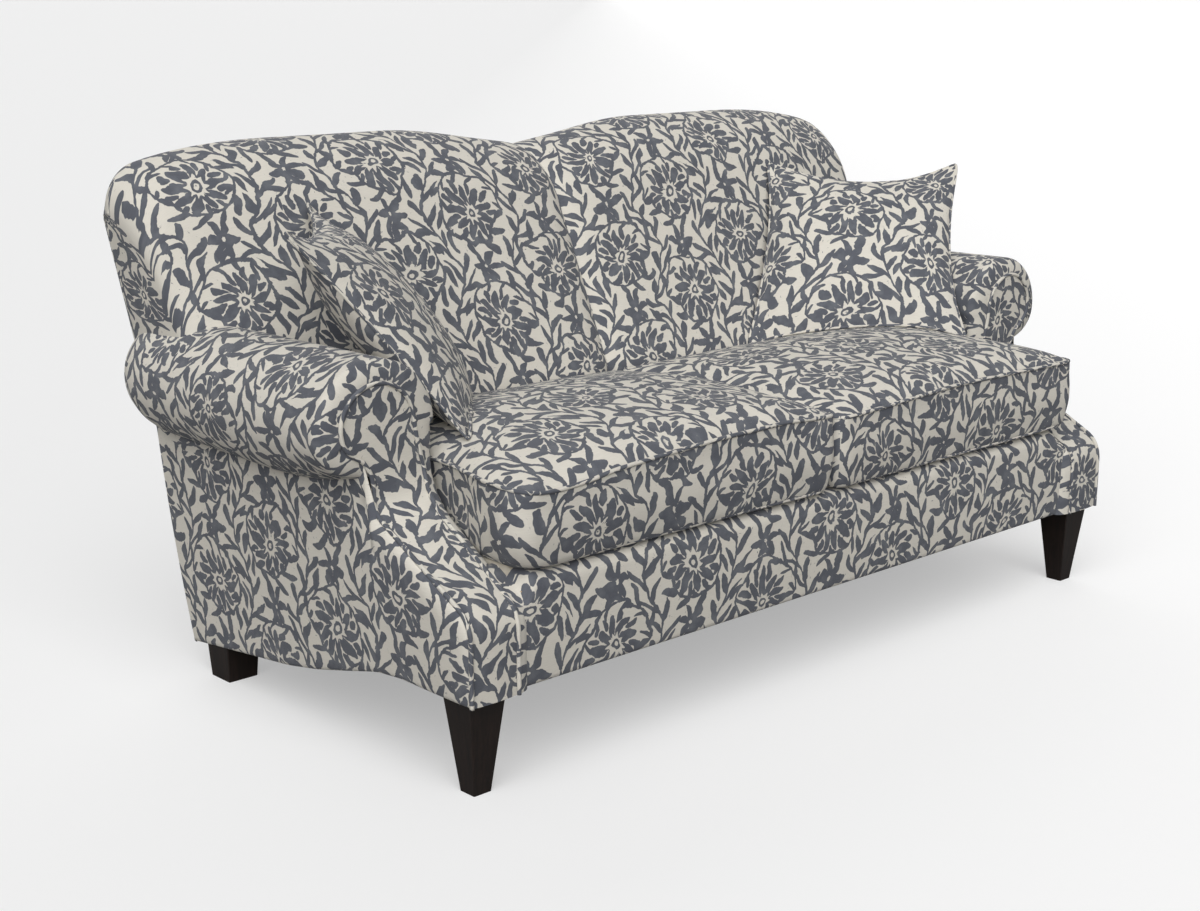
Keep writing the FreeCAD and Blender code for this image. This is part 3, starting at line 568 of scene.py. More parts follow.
def distance_to_line(points: np.ndarray, line: np.ndarray) -> np.ndarray:
    """Distance of points in a plane from a line of straight runs."""
    best = np.full(points.shape[:-1], np.inf)
    for start, end in zip(line, line[1:]):
        run = end - start
        share = np.clip(((points - start) @ run) / max(float(run @ run), 1e-12), 0, 1)
        near = start + share[..., None] * run
        best = np.minimum(best, np.linalg.norm(points - near, axis=-1))
    return best


def welt(name: str, path: np.ndarray, material: bpy.types.Material, radius: float = 0.0036,
         closed: bool = False, sides: int = 10, shift: tuple[float, float] = (0.0, 0.0)) -> bpy.types.Object:
    """Covered piping along a line.

    Args:
        name: The piece's name.
        path: The middle of the cord.
        material: The covering cloth.
        radius: Radius over the cloth.
        closed: Whether the ends meet.
        sides: Points round the cord.
        shift: Where the strip was cut from the cloth.

    Returns:
        The piping.
    """
    if closed:
        path = np.vstack([path, path[:1]])
    ahead = np.gradient(path, axis=0)
    if closed:
        ahead[0] = ahead[-1] = path[1] - path[-2]
    ahead /= np.linalg.norm(ahead, axis=1)[:, None]
    normal = np.cross(ahead[0], [0.0, 0.0, 1.0])
    if np.linalg.norm(normal) < 0.1:
        normal = np.cross(ahead[0], [0.0, 1.0, 0.0])
    frames = []
    for tangent in ahead:
        normal = normal - tangent * (normal @ tangent)
        normal = normal / np.linalg.norm(normal)
        frames.append((normal, np.cross(tangent, normal)))
    if closed:
        first, last = frames[0], frames[-1]
        twist = math.atan2(float(last[0] @ first[1]), float(last[0] @ first[0]))
        count = len(frames) - 1
        frames = [(n * math.cos(twist * i / count) - b * math.sin(twist * i / count),
                   b * math.cos(twist * i / count) + n * math.sin(twist * i / count))
                  for i, (n, b) in enumerate(frames)]
    spin = np.linspace(0, TURN, sides + 1)
    rings = np.stack([spot + radius * (np.cos(spin)[:, None] * n + np.sin(spin)[:, None] * b)
                      for spot, (n, b) in zip(path, frames)])
    run = lengths(path)
    cloth = np.stack(np.broadcast_arrays(run[:, None] * 0.7 + shift[0] + spin[None, :] * radius,
                                         run[:, None] * 0.7 + shift[1] - spin[None, :] * radius), axis=-1)
    shell = Shell(name)
    shell.grid(rings, cloth)
    if not closed:
        for row, flip in ((0, True), (-1, False)):
            cap = np.stack([rings[row], np.broadcast_to(path[row], rings[row].shape)])
            shell.grid(cap, np.stack([cloth[row], cloth[row]]), flip=flip)
    return shell.build(material)


def grid_cloth(across: np.ndarray, up: np.ndarray, shift: tuple[float, float]) -> np.ndarray:
    """Places on the cloth from two arrays, cut from a part of the cloth."""
    across, up = np.broadcast_arrays(across, up)
    return np.stack([across + shift[0], up + shift[1]], axis=-1)


def inflate(piece: bpy.types.Object, pressure: float, slack: float, cap: float, frames: int = 20,
            hold: np.ndarray | None = None) -> None:
    """Let the cloth of a closed piece fill out, then keep it near where it started.

    Args:
        piece: The closed piece.
        pressure: The filling's pressure.
        slack: How much larger the cloth is than its shape.
        cap: The furthest that a point may move, in metres.
        frames: How many frames are stepped.
        hold: How much of the movement each point keeps.
    """
    scene = bpy.context.scene
    mesh = piece.data
    start = np.empty(len(mesh.vertices) * 3)
    mesh.vertices.foreach_get("co", start)
    modifier = piece.modifiers.new("filling", "CLOTH")
    settings = modifier.settings
    settings.quality = 6
    settings.mass = 0.25
    settings.tension_stiffness = settings.compression_stiffness = 18
    settings.shear_stiffness = 8
    settings.bending_stiffness = 0.6
    settings.use_pressure = True
    settings.uniform_pressure_force = pressure
    settings.shrink_min = -slack
    settings.effector_weights.gravity = 0
    modifier.collision_settings.use_collision = False
    modifier.point_cache.frame_start = 1
    modifier.point_cache.frame_end = frames
    for number in range(1, frames + 1):
        scene.frame_set(number)
    evaluated = piece.evaluated_get(bpy.context.evaluated_depsgraph_get())
    moved = np.empty(len(evaluated.data.vertices) * 3)
    evaluated.data.vertices.foreach_get("co", moved)
    piece.modifiers.remove(modifier)
    scene.frame_set(1)
    step = (moved - start).reshape(-1, 3)
    far = np.linalg.norm(step, axis=1)
    limited = cap * np.tanh(far / cap)
    step *= (limited / np.maximum(far, 1e-9))[:, None]
    if hold is not None:
        step *= hold[:, None]
    mesh.vertices.foreach_set("co", (start.reshape(-1, 3) + step).ravel())
    mesh.update()


def edit_points(piece: bpy.types.Object, change: Callable[[np.ndarray], np.ndarray]) -> None:
    """Move a piece's points by a function of their places."""
    piece.data.vertices.foreach_set("co", change(vertices(piece)).ravel())
    piece.data.update()


def vertices(piece: bpy.types.Object) -> np.ndarray:
    """A piece's points."""
    spots = np.empty(len(piece.data.vertices) * 3)
    piece.data.vertices.foreach_get("co", spots)
    return spots.reshape(-1, 3)


def along_rim(piece: bpy.types.Object, rim: np.ndarray) -> np.ndarray:
    """A smooth closed line through the piece's own points nearest to a rim."""
    spots = vertices(piece)
    path = np.array([spots[int(np.argmin(np.linalg.norm(spots - spot, axis=1)))] for spot in rim])
    path = path[np.concatenate([[True], np.linalg.norm(np.diff(path, axis=0), axis=1) > 1e-4])]
    for _ in range(2):
        path = (np.roll(path, 1, axis=0) + 2 * path + np.roll(path, -1, axis=0)) / 4
    return path


def place(piece: bpy.types.Object, body: str, slot: Slot, *nodes: str) -> bpy.types.Object:
    """Give a piece its body and hide the nodes that it stands for."""
    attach(piece, body)
    if nodes:
        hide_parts(*nodes)
    log.info("%s rides on %s", piece.name, body)
    return piece


# Back


@dataclass(frozen=True)
class BackEnd:
    """How one end of the back is filled."""

    set_back: float
    corner_drop: float
    shoulder_drop: float


@dataclass
class BackUpholstery:
    """The tight inside back: two humps that meet in a valley, square ends, and the panel behind."""

    linen: bpy.types.Material
    half_width: float = 0.857
    height: float = 0.894
    dip: float = 0.031
    hump_start: float = 0.36
    hump_end: float = 0.62
    shoulder: float = 0.9
    widest: float = 0.782
    taper: float = 0.1635
    deck: float = 0.325
    foot: float = 0.100
    lumbar: float = 0.455
    lean: float = 0.43
    nose_height: float = 0.1
    nose_depth: float = 0.092
    rear_fall: float = 0.022
    belly: float = 0.006
    valley: float = 0.026
    valley_width: float = 0.032
    end_radius: float = 0.016
    notch: float = 0.010
    notch_width: float = 0.035
    rear_drop: float = 0.004
    rear_drop_run: float = 0.065
    lumbar_settle: float = 0.05
    least_crest: float = 0.02
    edge_steps: tuple[float, ...] = (
        0.048, 0.040, 0.032, 0.025, 0.019, 0.014, 0.010, 0.006, 0.003, 0.001, 0.0)
    end_swell: float = 0.004
    end_sink: tuple[tuple[float, float], ...] = (
        (0.0, 0.0), (0.5, 0.0), (0.72, 0.011), (0.88, 0.030), (0.955, 0.046), (1.0, 0.068))
    ends: dict[Hand, BackEnd] = field(default_factory=lambda: {
        Hand.LEFT: BackEnd(1.0, 0.064, 0.023), Hand.RIGHT: BackEnd(0.5, 0.050, 0.019)})
    rake: float = 0.13
    rear_top: float = 0.428
    panel: float = 0.012

    def crest(self, share: np.ndarray, end: BackEnd) -> np.ndarray:
        """Height of the top edge at a share of the half width, towards one end."""
        dip = self.dip * (1 + np.cos(np.clip(share / self.hump_start, 0, 1) * math.pi)) / 2
        fall = np.clip((share - self.hump_end) / (self.shoulder - self.hump_end), 0, None) ** 2.3
        notch = self.notch * np.exp(-share * self.half_width / self.notch_width)
        return self.height - dip - notch - end.shoulder_drop * fall

    def rear(self, up: np.ndarray) -> np.ndarray:
        """The front face of the rear panel at a height."""
        return self.rear_top - self.rake * (self.height - self.rear_fall - up)

    def fan(self, up: np.ndarray) -> np.ndarray:
        """How wide the back is at a height, as a share of its widest."""
        return 1 + self.taper * (up - self.widest)

    def section(self, share: float, hand: Hand) -> np.ndarray:
        """One upright slice from the deck over the crest to the rear edge.

        Args:
            share: Its place as a share of the half width.
            hand: The side that it is on.

        Returns:
            Rows of setback and height.
        """
        end = self.ends[hand]
        left = (1 - share) * self.half_width
        corner = 1 - float(bow(np.array(left / self.end_radius)))
        drop = end.corner_drop * (1 - float(bow(np.array(left / end.corner_drop))))
        top = float(self.crest(np.array(share), end)) - drop
        valley = math.exp(-share * self.half_width / self.valley_width)
        set_back = end.set_back * float(np.interp(share, *zip(*self.end_sink)))
        sink = self.valley * valley + self.end_radius * corner + set_back
        nose = top - self.nose_height
        low = np.linspace(self.deck, nose, 34)
        lean = np.clip(low - self.lumbar, 0, None)
        settle = self.lumbar_settle
        easing = np.sqrt(lean ** 2 + settle ** 2) - settle * np.exp(-lean / settle)
        face = self.foot + sink + self.lean * easing
        face -= self.belly * np.sin(np.clip((low - self.deck) / (nose - self.deck), 0, 1) * math.pi)
        turn = np.linspace(0, math.pi / 2, 13)[1:]
        crest_y = face[-1] + self.lean * self.nose_height + self.nose_depth
        over_y = face[-1] + self.lean * self.nose_height * np.sin(turn) + self.nose_depth * (1 - np.cos(turn))
        over = np.stack([over_y, nose + self.nose_height * np.sin(turn)], axis=1)
        rear_y = float(self.rear(np.array(top - self.rear_fall)))
        crest_y = min(crest_y, rear_y - self.least_crest)
        over[:, 0] = np.minimum(over[:, 0], crest_y)
        rear_fall = self.rear_fall + self.rear_drop * (1 - float(bow(np.array(left / self.rear_drop_run))))
        behind = np.stack([crest_y + (rear_y - crest_y) * np.sin(turn),
                           top - rear_fall * (1 - np.cos(turn))], axis=1)
        return np.vstack([np.stack([face, low], axis=1), over, behind])

    def half(self, hand: Hand) -> bpy.types.Object:
        """One hump of the inside back with its square end."""
        rim = 1 - np.array(self.edge_steps) / self.half_width
        shares = np.concatenate([spaced(0, 0.93, 46, (True, False)), rim])
        sections = np.stack([self.section(float(share), hand) for share in shares])
        across = shares[:, None] * self.half_width * self.fan(sections[..., 1])
        points = np.stack([across, sections[..., 0], sections[..., 1]], axis=-1)
        last = points[-1]
        band = []
        for share in np.linspace(0, 1, 12)[1:]:
            column = last.copy()
            column[:, 1] += (self.rear(last[:, 2]) - last[:, 1]) * share
            column[:, 0] += self.end_swell * math.sin(share * math.pi) * (1 - smooth(last[:, 2], 0.62, 0.74))
            band.append(column)
        points = np.concatenate([points, np.stack(band)])
        run = lengths(sections[len(sections) // 3])
        end_cloth = self.half_width + np.linspace(0, 0.12, 12)[1:]
        cloth_across = np.concatenate([shares * self.half_width, end_cloth])
        points[..., 0] *= hand.value
        shell = Shell("inside_back_" + hand.word)
        cloth = grid_cloth(cloth_across[:, None] * hand.value, run[None, :], (0.07, 0.11 + 0.05 * hand.value))
        shell.grid(points, cloth, flip=hand is Hand.LEFT)
        piece = shell.build(self.linen)
        return place(piece, "frame", Slot.LINEN, "back_pad_" + hand.word)

    def outside(self, low: float, waist: float, waist_half: float, low_half: float) -> bpy.types.Object:
        """The panel behind the back.

        Args:
            low: Its bottom edge.
            waist: Where it meets the rolls.
            waist_half: Half its width there.
            low_half: Half its width at the bottom.

        Returns:
            The panel.
        """
        side_shares = spaced(0, 1, 40, (False, True))
        shares = np.concatenate([-side_shares[::-1], side_shares[1:]])
        tops = np.array([self.section(abs(float(share)), Hand.LEFT if share < 0 else Hand.RIGHT)[-1, 1]
                         for share in shares])
        levels = spaced(0, 1, 46, (True, True))
        up = low + (tops[:, None] - low) * levels[None, :]
        narrow = waist_half + (low_half - waist_half) * (waist - up) / (waist - low)
        wide = self.half_width * self.fan(up)
        half = np.where(up < waist, narrow, np.maximum(wide, waist_half))
        across = shares[:, None] * half
        side_edge = (1 - np.abs(shares))[:, None] * half
        edge = np.minimum(np.minimum(side_edge, tops[:, None] - up), up - low)
        depth = self.rear(up) + self.panel * bow(edge / 0.012)
        points = np.stack([across, depth, up], axis=-1)
        shell = Shell("outside_back_cover")
        shell.grid(points, grid_cloth(-across, up, (0.33, 0.21)), flip=True)
        flat = points.copy()
        flat[..., 1] = self.rear(up) - 0.002
        shell.grid(flat, grid_cloth(-across, up, (0.33, 0.21)))
        piece = shell.build(self.linen)
        return place(piece, "frame", Slot.LINEN, "outside_back")

    def build(self) -> None:
        """Build both humps and the panel behind them."""
        for hand in Hand:
            self.half(hand)
        self.outside(0.052, 0.418, 0.806, 0.785)


# Arms


@dataclass
class ScrollArm:
    """One arm: a padded roll, a welted facing that sweeps down to the foot, and the outside panel."""

    linen: bpy.types.Material
    hand: Hand
    back: BackUpholstery
    inside: float = 0.674
    roll_side: float = 0.776
    roll_up: float = 0.517
    roll_wide: float = 0.105
    roll_high: float = 0.100
    loop: float = 0.066
    loop_side: float = 0.781
    loop_up: float = 0.522
    crease: float = 0.420
    crease_lift: float = 0.034
    crease_run: float = 0.232
    crease_start: float = 0.008
    crease_side: float = 0.808
    low_side: float = 0.784
    low_side_up: float = 0.032
    side_bow: float = 0.004
    outer_welt: float = 0.792
    face: float = -0.440
    neck: float = -0.220
    bottom: float = 0.151
    edge_depth: float = 0.017
    wall_depth: float = 0.022
    rear_round: float = 0.075
    rear_shrink: float = 0.034
    cover_depth: float = 0.6
    cover_swell: float = 0.004
    ramp_up: float = 0.306
    wall_turn: float = 0.43
    foot_bulge: float = 0.003
    facing_crown: float = 0.003
    welt_stand: float = 0.0015
    crease_cover: float = 0.006
    crease_cover_front: float = 0.016
    crease_front_run: float = 0.06
    closing_run: float = 0.03
    hem: float = 0.006
    hem_run: float = 0.008
    sweep: tuple[tuple[float, float], ...] = (
        (-0.440, 0.151), (-0.275, 0.151), (-0.214, 0.145), (-0.150, 0.128), (-0.057, 0.104), (0.030, 0.087),
        (0.3214, 0.052),
    )
    inner_welt: tuple[tuple[float, float], ...] = (
        (0.151, 0.704), (0.271, 0.704), (0.30, 0.701), (0.452, 0.700), (0.476, 0.706), (0.500, 0.712),
        (0.522, 0.715))
    under_loop: tuple[tuple[float, float], ...] = (
        (0.151, 0.792), (0.434, 0.792), (0.455, 0.796), (0.474, 0.808), (0.486, 0.827), (0.503, 0.8435),
        (0.522, 0.847))
    shift: tuple[float, float] = (0.0, 0.0)
    inner_line: np.ndarray = field(init=False)
    outer_line: np.ndarray = field(init=False)

    def __post_init__(self) -> None:
        """Work out the side view of the facing along both of its welts."""
        self.inner_line = self.side_view(0.2745, 0.407, 0.045, 0.100)
        self.outer_line = self.side_view(0.280, 0.394, 0.050, 0.034)

    def side_view(self, shoulder: float, neck: float, low_radius: float, high_radius: float) -> np.ndarray:
        """The facing's side view: foot, sweep and neck.

        Args:
            shoulder: Height at which the sweep leaves the foot.
            neck: Height at which it reaches the roll's front.
            low_radius: Rounding at the shoulder.
            high_radius: Rounding at the neck.

        Returns:
            Rows of setback and height.
        """
        corners = [(self.face, self.bottom), (self.face, shoulder), (self.neck, neck), (self.neck, 0.63)]
        return rounded_line(corners, {1: low_radius, 2: high_radius}, 0.004)

    def outer_at(self, up: np.ndarray) -> np.ndarray:
        """Half width over the outside panel at a height."""
        share = np.clip((up - self.low_side_up) / (self.crease - self.low_side_up), 0, 1)
        straight = self.low_side + (self.crease_side - self.low_side) * share
        return straight + self.side_bow * 4 * share * (1 - share)

    def crease_rise(self, deep: np.ndarray) -> np.ndarray:
        """How far the crease under the roll has risen at a setback, towards the front."""
        return self.crease_lift * np.clip((self.crease_start - deep) / self.crease_run, 0, 1) ** 2

    def loop_edge(self, up: np.ndarray, side: int, low: Sequence[tuple[float, float]]) -> np.ndarray:
        """Where the facing's welt runs at a height.

        Args:
            up: Heights.
            side: -1 for the seat side and 1 for the outer side.
            low: Height and place of the welt below the middle of its loop.

        Returns:
            Distances from the middle of the sofa.
        """
        half_chord = np.sqrt(np.clip(self.loop ** 2 - (up - self.loop_up) ** 2, 0, None))
        return np.where(up > self.loop_up, self.loop_side + side * half_chord, np.interp(up, *zip(*low)))

    def signed(self, across: np.ndarray, deep: np.ndarray, up: np.ndarray) -> np.ndarray:
        """Points on this arm's side of the sofa."""
        across, deep, up = np.broadcast_arrays(across, deep, up)
        return np.stack([across * self.hand.value, deep, up], axis=-1)

    def cut(self, part: int) -> tuple[float, float]:
        """Where on the cloth a part of this arm was cut."""
        return (self.shift[0] + 0.131 * part, self.shift[1] + 0.077 * part)

    def loop_ring(self, spin: np.ndarray) -> tuple[np.ndarray, np.ndarray]:
        """The facing's welt at the angles of the roll's ring, from the seat side over the top to below."""
        degrees = np.degrees(spin)
        across = self.loop_side + self.loop * np.cos(spin)
        up = self.loop_up + self.loop * np.sin(spin)
        under = np.array([(-100, 0.792, 0.434), (-72, 0.797, 0.458), (-55, 0.808, 0.474), (-38, 0.827, 0.486),
                          (-22, 0.8435, 0.503)])
        low = degrees < -22
        across = np.where(low, np.interp(degrees, under[:, 0], under[:, 1]), across)
        up = np.where(low, np.interp(degrees, under[:, 0], under[:, 2]), up)
        return across, up

    def roll_cover(self) -> bpy.types.Object:
        """The inside of the arm and the roll."""
        spin = np.radians(np.linspace(180, -100, 80))
        loop_x, loop_z = self.loop_ring(spin)
        wall = np.concatenate([np.linspace(self.bottom, 0.30, 10), np.linspace(0.312, self.roll_up, 26)[:-1]])
        welt_x = self.loop_edge(wall, -1, self.inner_welt)
        overhang = self.inside - self.roll_side + self.roll_wide
        wall_x = self.inside - overhang * smooth(wall, self.wall_turn, self.roll_up)
        wall_y = np.interp(wall, self.inner_line[:, 1], self.inner_line[:, 0])
        reach = np.where(wall > self.ramp_up, 1.0, 0.3)
        rear_roll = self.back.rear(self.roll_up + self.roll_high * np.sin(spin))
        rear_wall = self.back.rear(wall)
        near_front = spaced(0, 0.05, 16, (True, False))
        depth = np.concatenate([near_front, np.linspace(0.06, self.cover_depth, 26)])
        under = smooth(-np.degrees(spin), 5, 72)
        rows = []
        for away in depth:
            share = away / self.cover_depth
            y_roll = self.neck + away + (rear_roll - self.neck - self.cover_depth) * share ** 2
            closing = 1 - float(bow(np.array(away / self.edge_depth)))
            rear_close = 1 - bow((rear_roll - y_roll) / self.rear_round)
            lift = self.crease_rise(y_roll) * under
            full = self.cover_swell - 2 * self.cover_swell * share - self.rear_shrink * rear_close - lift
            full_x = self.roll_side + (self.roll_wide + full) * np.cos(spin)
            full_z = self.roll_up + (self.roll_high + full) * np.sin(spin)
            y_wall = wall_y + (rear_wall - wall_y) * share * reach
            line_gap = distance_to_line(np.stack([y_wall, wall], axis=-1), self.inner_line)
            tuck = 1 - bow(line_gap / self.wall_depth)
            xs = np.concatenate([wall_x + (welt_x - wall_x) * tuck, full_x + (loop_x - full_x) * closing])
            zs = np.concatenate([wall, full_z + (loop_z - full_z) * closing])
            rows.append(self.signed(xs, np.concatenate([y_wall, y_roll]), zs))
        points = np.stack(rows)
        around = np.concatenate([wall - self.roll_up, self.roll_high * (math.pi - spin)])
        steps = np.linalg.norm(np.diff(points[:, len(wall):], axis=0), axis=2).mean(axis=1)
        along = self.neck + np.concatenate([[0.0], np.cumsum(steps)])[:, None]
        on_roll = smooth(around, -0.12, 0.0)[None, :]
        cloth_deep = points[..., 1] * (1 - on_roll) + along * on_roll
        shell = Shell("arm_roll_" + self.hand.word)
        shell.grid(points, grid_cloth(cloth_deep, around[None, :], self.cut(0)), flip=self.hand is Hand.RIGHT)
        cap_deep = np.array(float(rear_roll.mean()) + 0.003)
        centre = self.signed(np.array(self.roll_side), cap_deep, np.array(self.roll_up))
        ring = points[-1, len(wall):]
        cap = np.stack([ring, np.broadcast_to(centre, ring.shape)])
        shell.grid(cap, grid_cloth(cap[..., 0], cap[..., 2], self.cut(1)), flip=self.hand is Hand.RIGHT)
        piece = shell.build(self.linen)
        return place(piece, "frame", Slot.LINEN, "arm_pad_" + self.hand.word)

    def facing_edges(self) -> tuple[np.ndarray, np.ndarray]:
        """The seat-side and outer edges of the facing, with as many points each, from the foot to the top."""
        edges = []
        high = self.loop_up + self.loop * np.sin(np.linspace(0, math.pi / 2, 16))
        sides = ((self.inner_line, -1, self.inner_welt), (self.outer_line, 1, self.under_loop))
        for line, side, low in sides:
            below = line[line[:, 1] < self.loop_up]
            below = resample(np.vstack([below, [(self.neck, self.loop_up)]]), 64)
            up = np.concatenate([below[:, 1], high[1:]])
            deep = np.concatenate([below[:, 0], np.full(len(high) - 1, self.neck)])
            edges.append(np.stack([self.loop_edge(up, side, low), deep, up], axis=1))
        return edges[0], edges[1]

    def facing(self) -> bpy.types.Object:
        """The narrow panel that closes the front of the arm."""
        inner, outer = self.facing_edges()
        share = np.linspace(0, 1, 15)[None, :, None]
        points = inner[:, None] + (outer - inner)[:, None] * share
        slope = np.gradient((inner + outer) / 2, axis=0)[:, 1:]
        slope /= np.linalg.norm(slope, axis=1)[:, None]
        wide = smooth(outer[:, 0] - inner[:, 0], 0.0, 0.06)[:, None]
        crown = self.facing_crown * (4 * share * (1 - share))[..., 0] * wide
        points[..., 1] -= slope[:, 1:] * crown
        points[..., 2] += slope[:, :1] * crown
        run = lengths(outer[:, 1:])
        shell = Shell("arm_facing_cover_" + self.hand.word)
        points[..., 0] *= self.hand.value
        shell.grid(points, grid_cloth(points[..., 0], run[:, None], self.cut(2)), flip=self.hand is Hand.LEFT)
        piece = shell.build(self.linen)
        return place(piece, "frame", Slot.LINEN, "arm_facing_" + self.hand.word)

    def outside_panel(self) -> bpy.types.Object:
        """The outside of the arm with its swept bottom edge."""
        front = spaced(self.face, self.neck, 34, (True, False))
        rear = np.linspace(self.neck, self.sweep[-1][0], 30)[1:]
        deep = np.concatenate([front, rear])
        low = np.interp(deep, *zip(*self.sweep))
        sill = self.outer_line[self.outer_line[:, 1] < self.loop_up]
        high = np.interp(deep, sill[:, 0], sill[:, 1])
        high[0] = sill[sill[:, 0] <= self.face + 1e-6][-1, 1]
        near = bow((self.crease_front_run - deep + self.neck) / self.crease_front_run)
        crease = self.crease + self.crease_rise(deep) + self.crease_cover + self.crease_cover_front * near
        high = np.where(deep >= self.neck - 1e-9, crease, high)
        levels = spaced(0, 1, 34, (True, True))
        up = low[:, None] + (high - low)[:, None] * levels[None, :]
        rear_end, rear_low = self.sweep[-1]
        leaning = smooth(deep, self.neck, rear_end)[:, None]
        far = deep[:, None] + self.back.rake * (up - rear_low) * leaning
        edge = distance_to_line(np.stack([far, up], axis=-1), sill)
        closing = 1 - bow(edge / self.closing_run)
        hem = self.hem * (1 - bow((up - low[:, None]) / self.hem_run))
        swell = self.foot_bulge * np.exp(-((far + 0.36) / 0.085) ** 2) * np.exp(-((up - 0.215) / 0.07) ** 2)
        flat = self.outer_at(up)
        across = flat + swell * (1 - closing) - (flat - self.outer_welt) * closing - hem
        points = self.signed(across, far, up)
        shell = Shell("arm_outside_cover_" + self.hand.word)
        shell.grid(points, grid_cloth(-points[..., 1] * self.hand.value, up, self.cut(3)),
                   flip=self.hand is Hand.RIGHT)
        under = points[:, 0]
        turned_in = self.signed(np.array(-0.02), np.array(0.0), np.array(0.001))
        strip = np.stack([under, under + turned_in], axis=1)
        shell.grid(strip, grid_cloth(strip[..., 1], strip[..., 0], self.cut(4)), flip=self.hand is Hand.LEFT)
        piece = shell.build(self.linen)
        return place(piece, "frame", Slot.LINEN, "arm_outside_" + self.hand.word)

    def piping(self) -> bpy.types.Object:
        """The welt round the facing."""
        inner, outer = self.facing_edges()
        path = np.vstack([inner, outer[-2::-1]])
        deep = np.gradient(path[:, 1:], axis=0)
        deep /= np.maximum(np.linalg.norm(deep, axis=1), 1e-9)[:, None]
        rising = path[:, 2] < self.loop_up
        path[:, 1] -= np.where(rising, np.abs(deep[:, 1]), 1.0) * self.welt_stand
        path[:, 2] += np.where(rising, np.abs(deep[:, 0]), 0.0) * self.welt_stand
        path[:, 0] *= self.hand.value
        piece = welt("arm_welt_" + self.hand.word, resample(path, 360), self.linen, shift=self.cut(5))
        return place(piece, "frame", Slot.LINEN)

    def build(self) -> None:
        """Build the arm's four covers."""
        self.roll_cover()
        self.facing()
        self.outside_panel()
        self.piping()


# Seat base


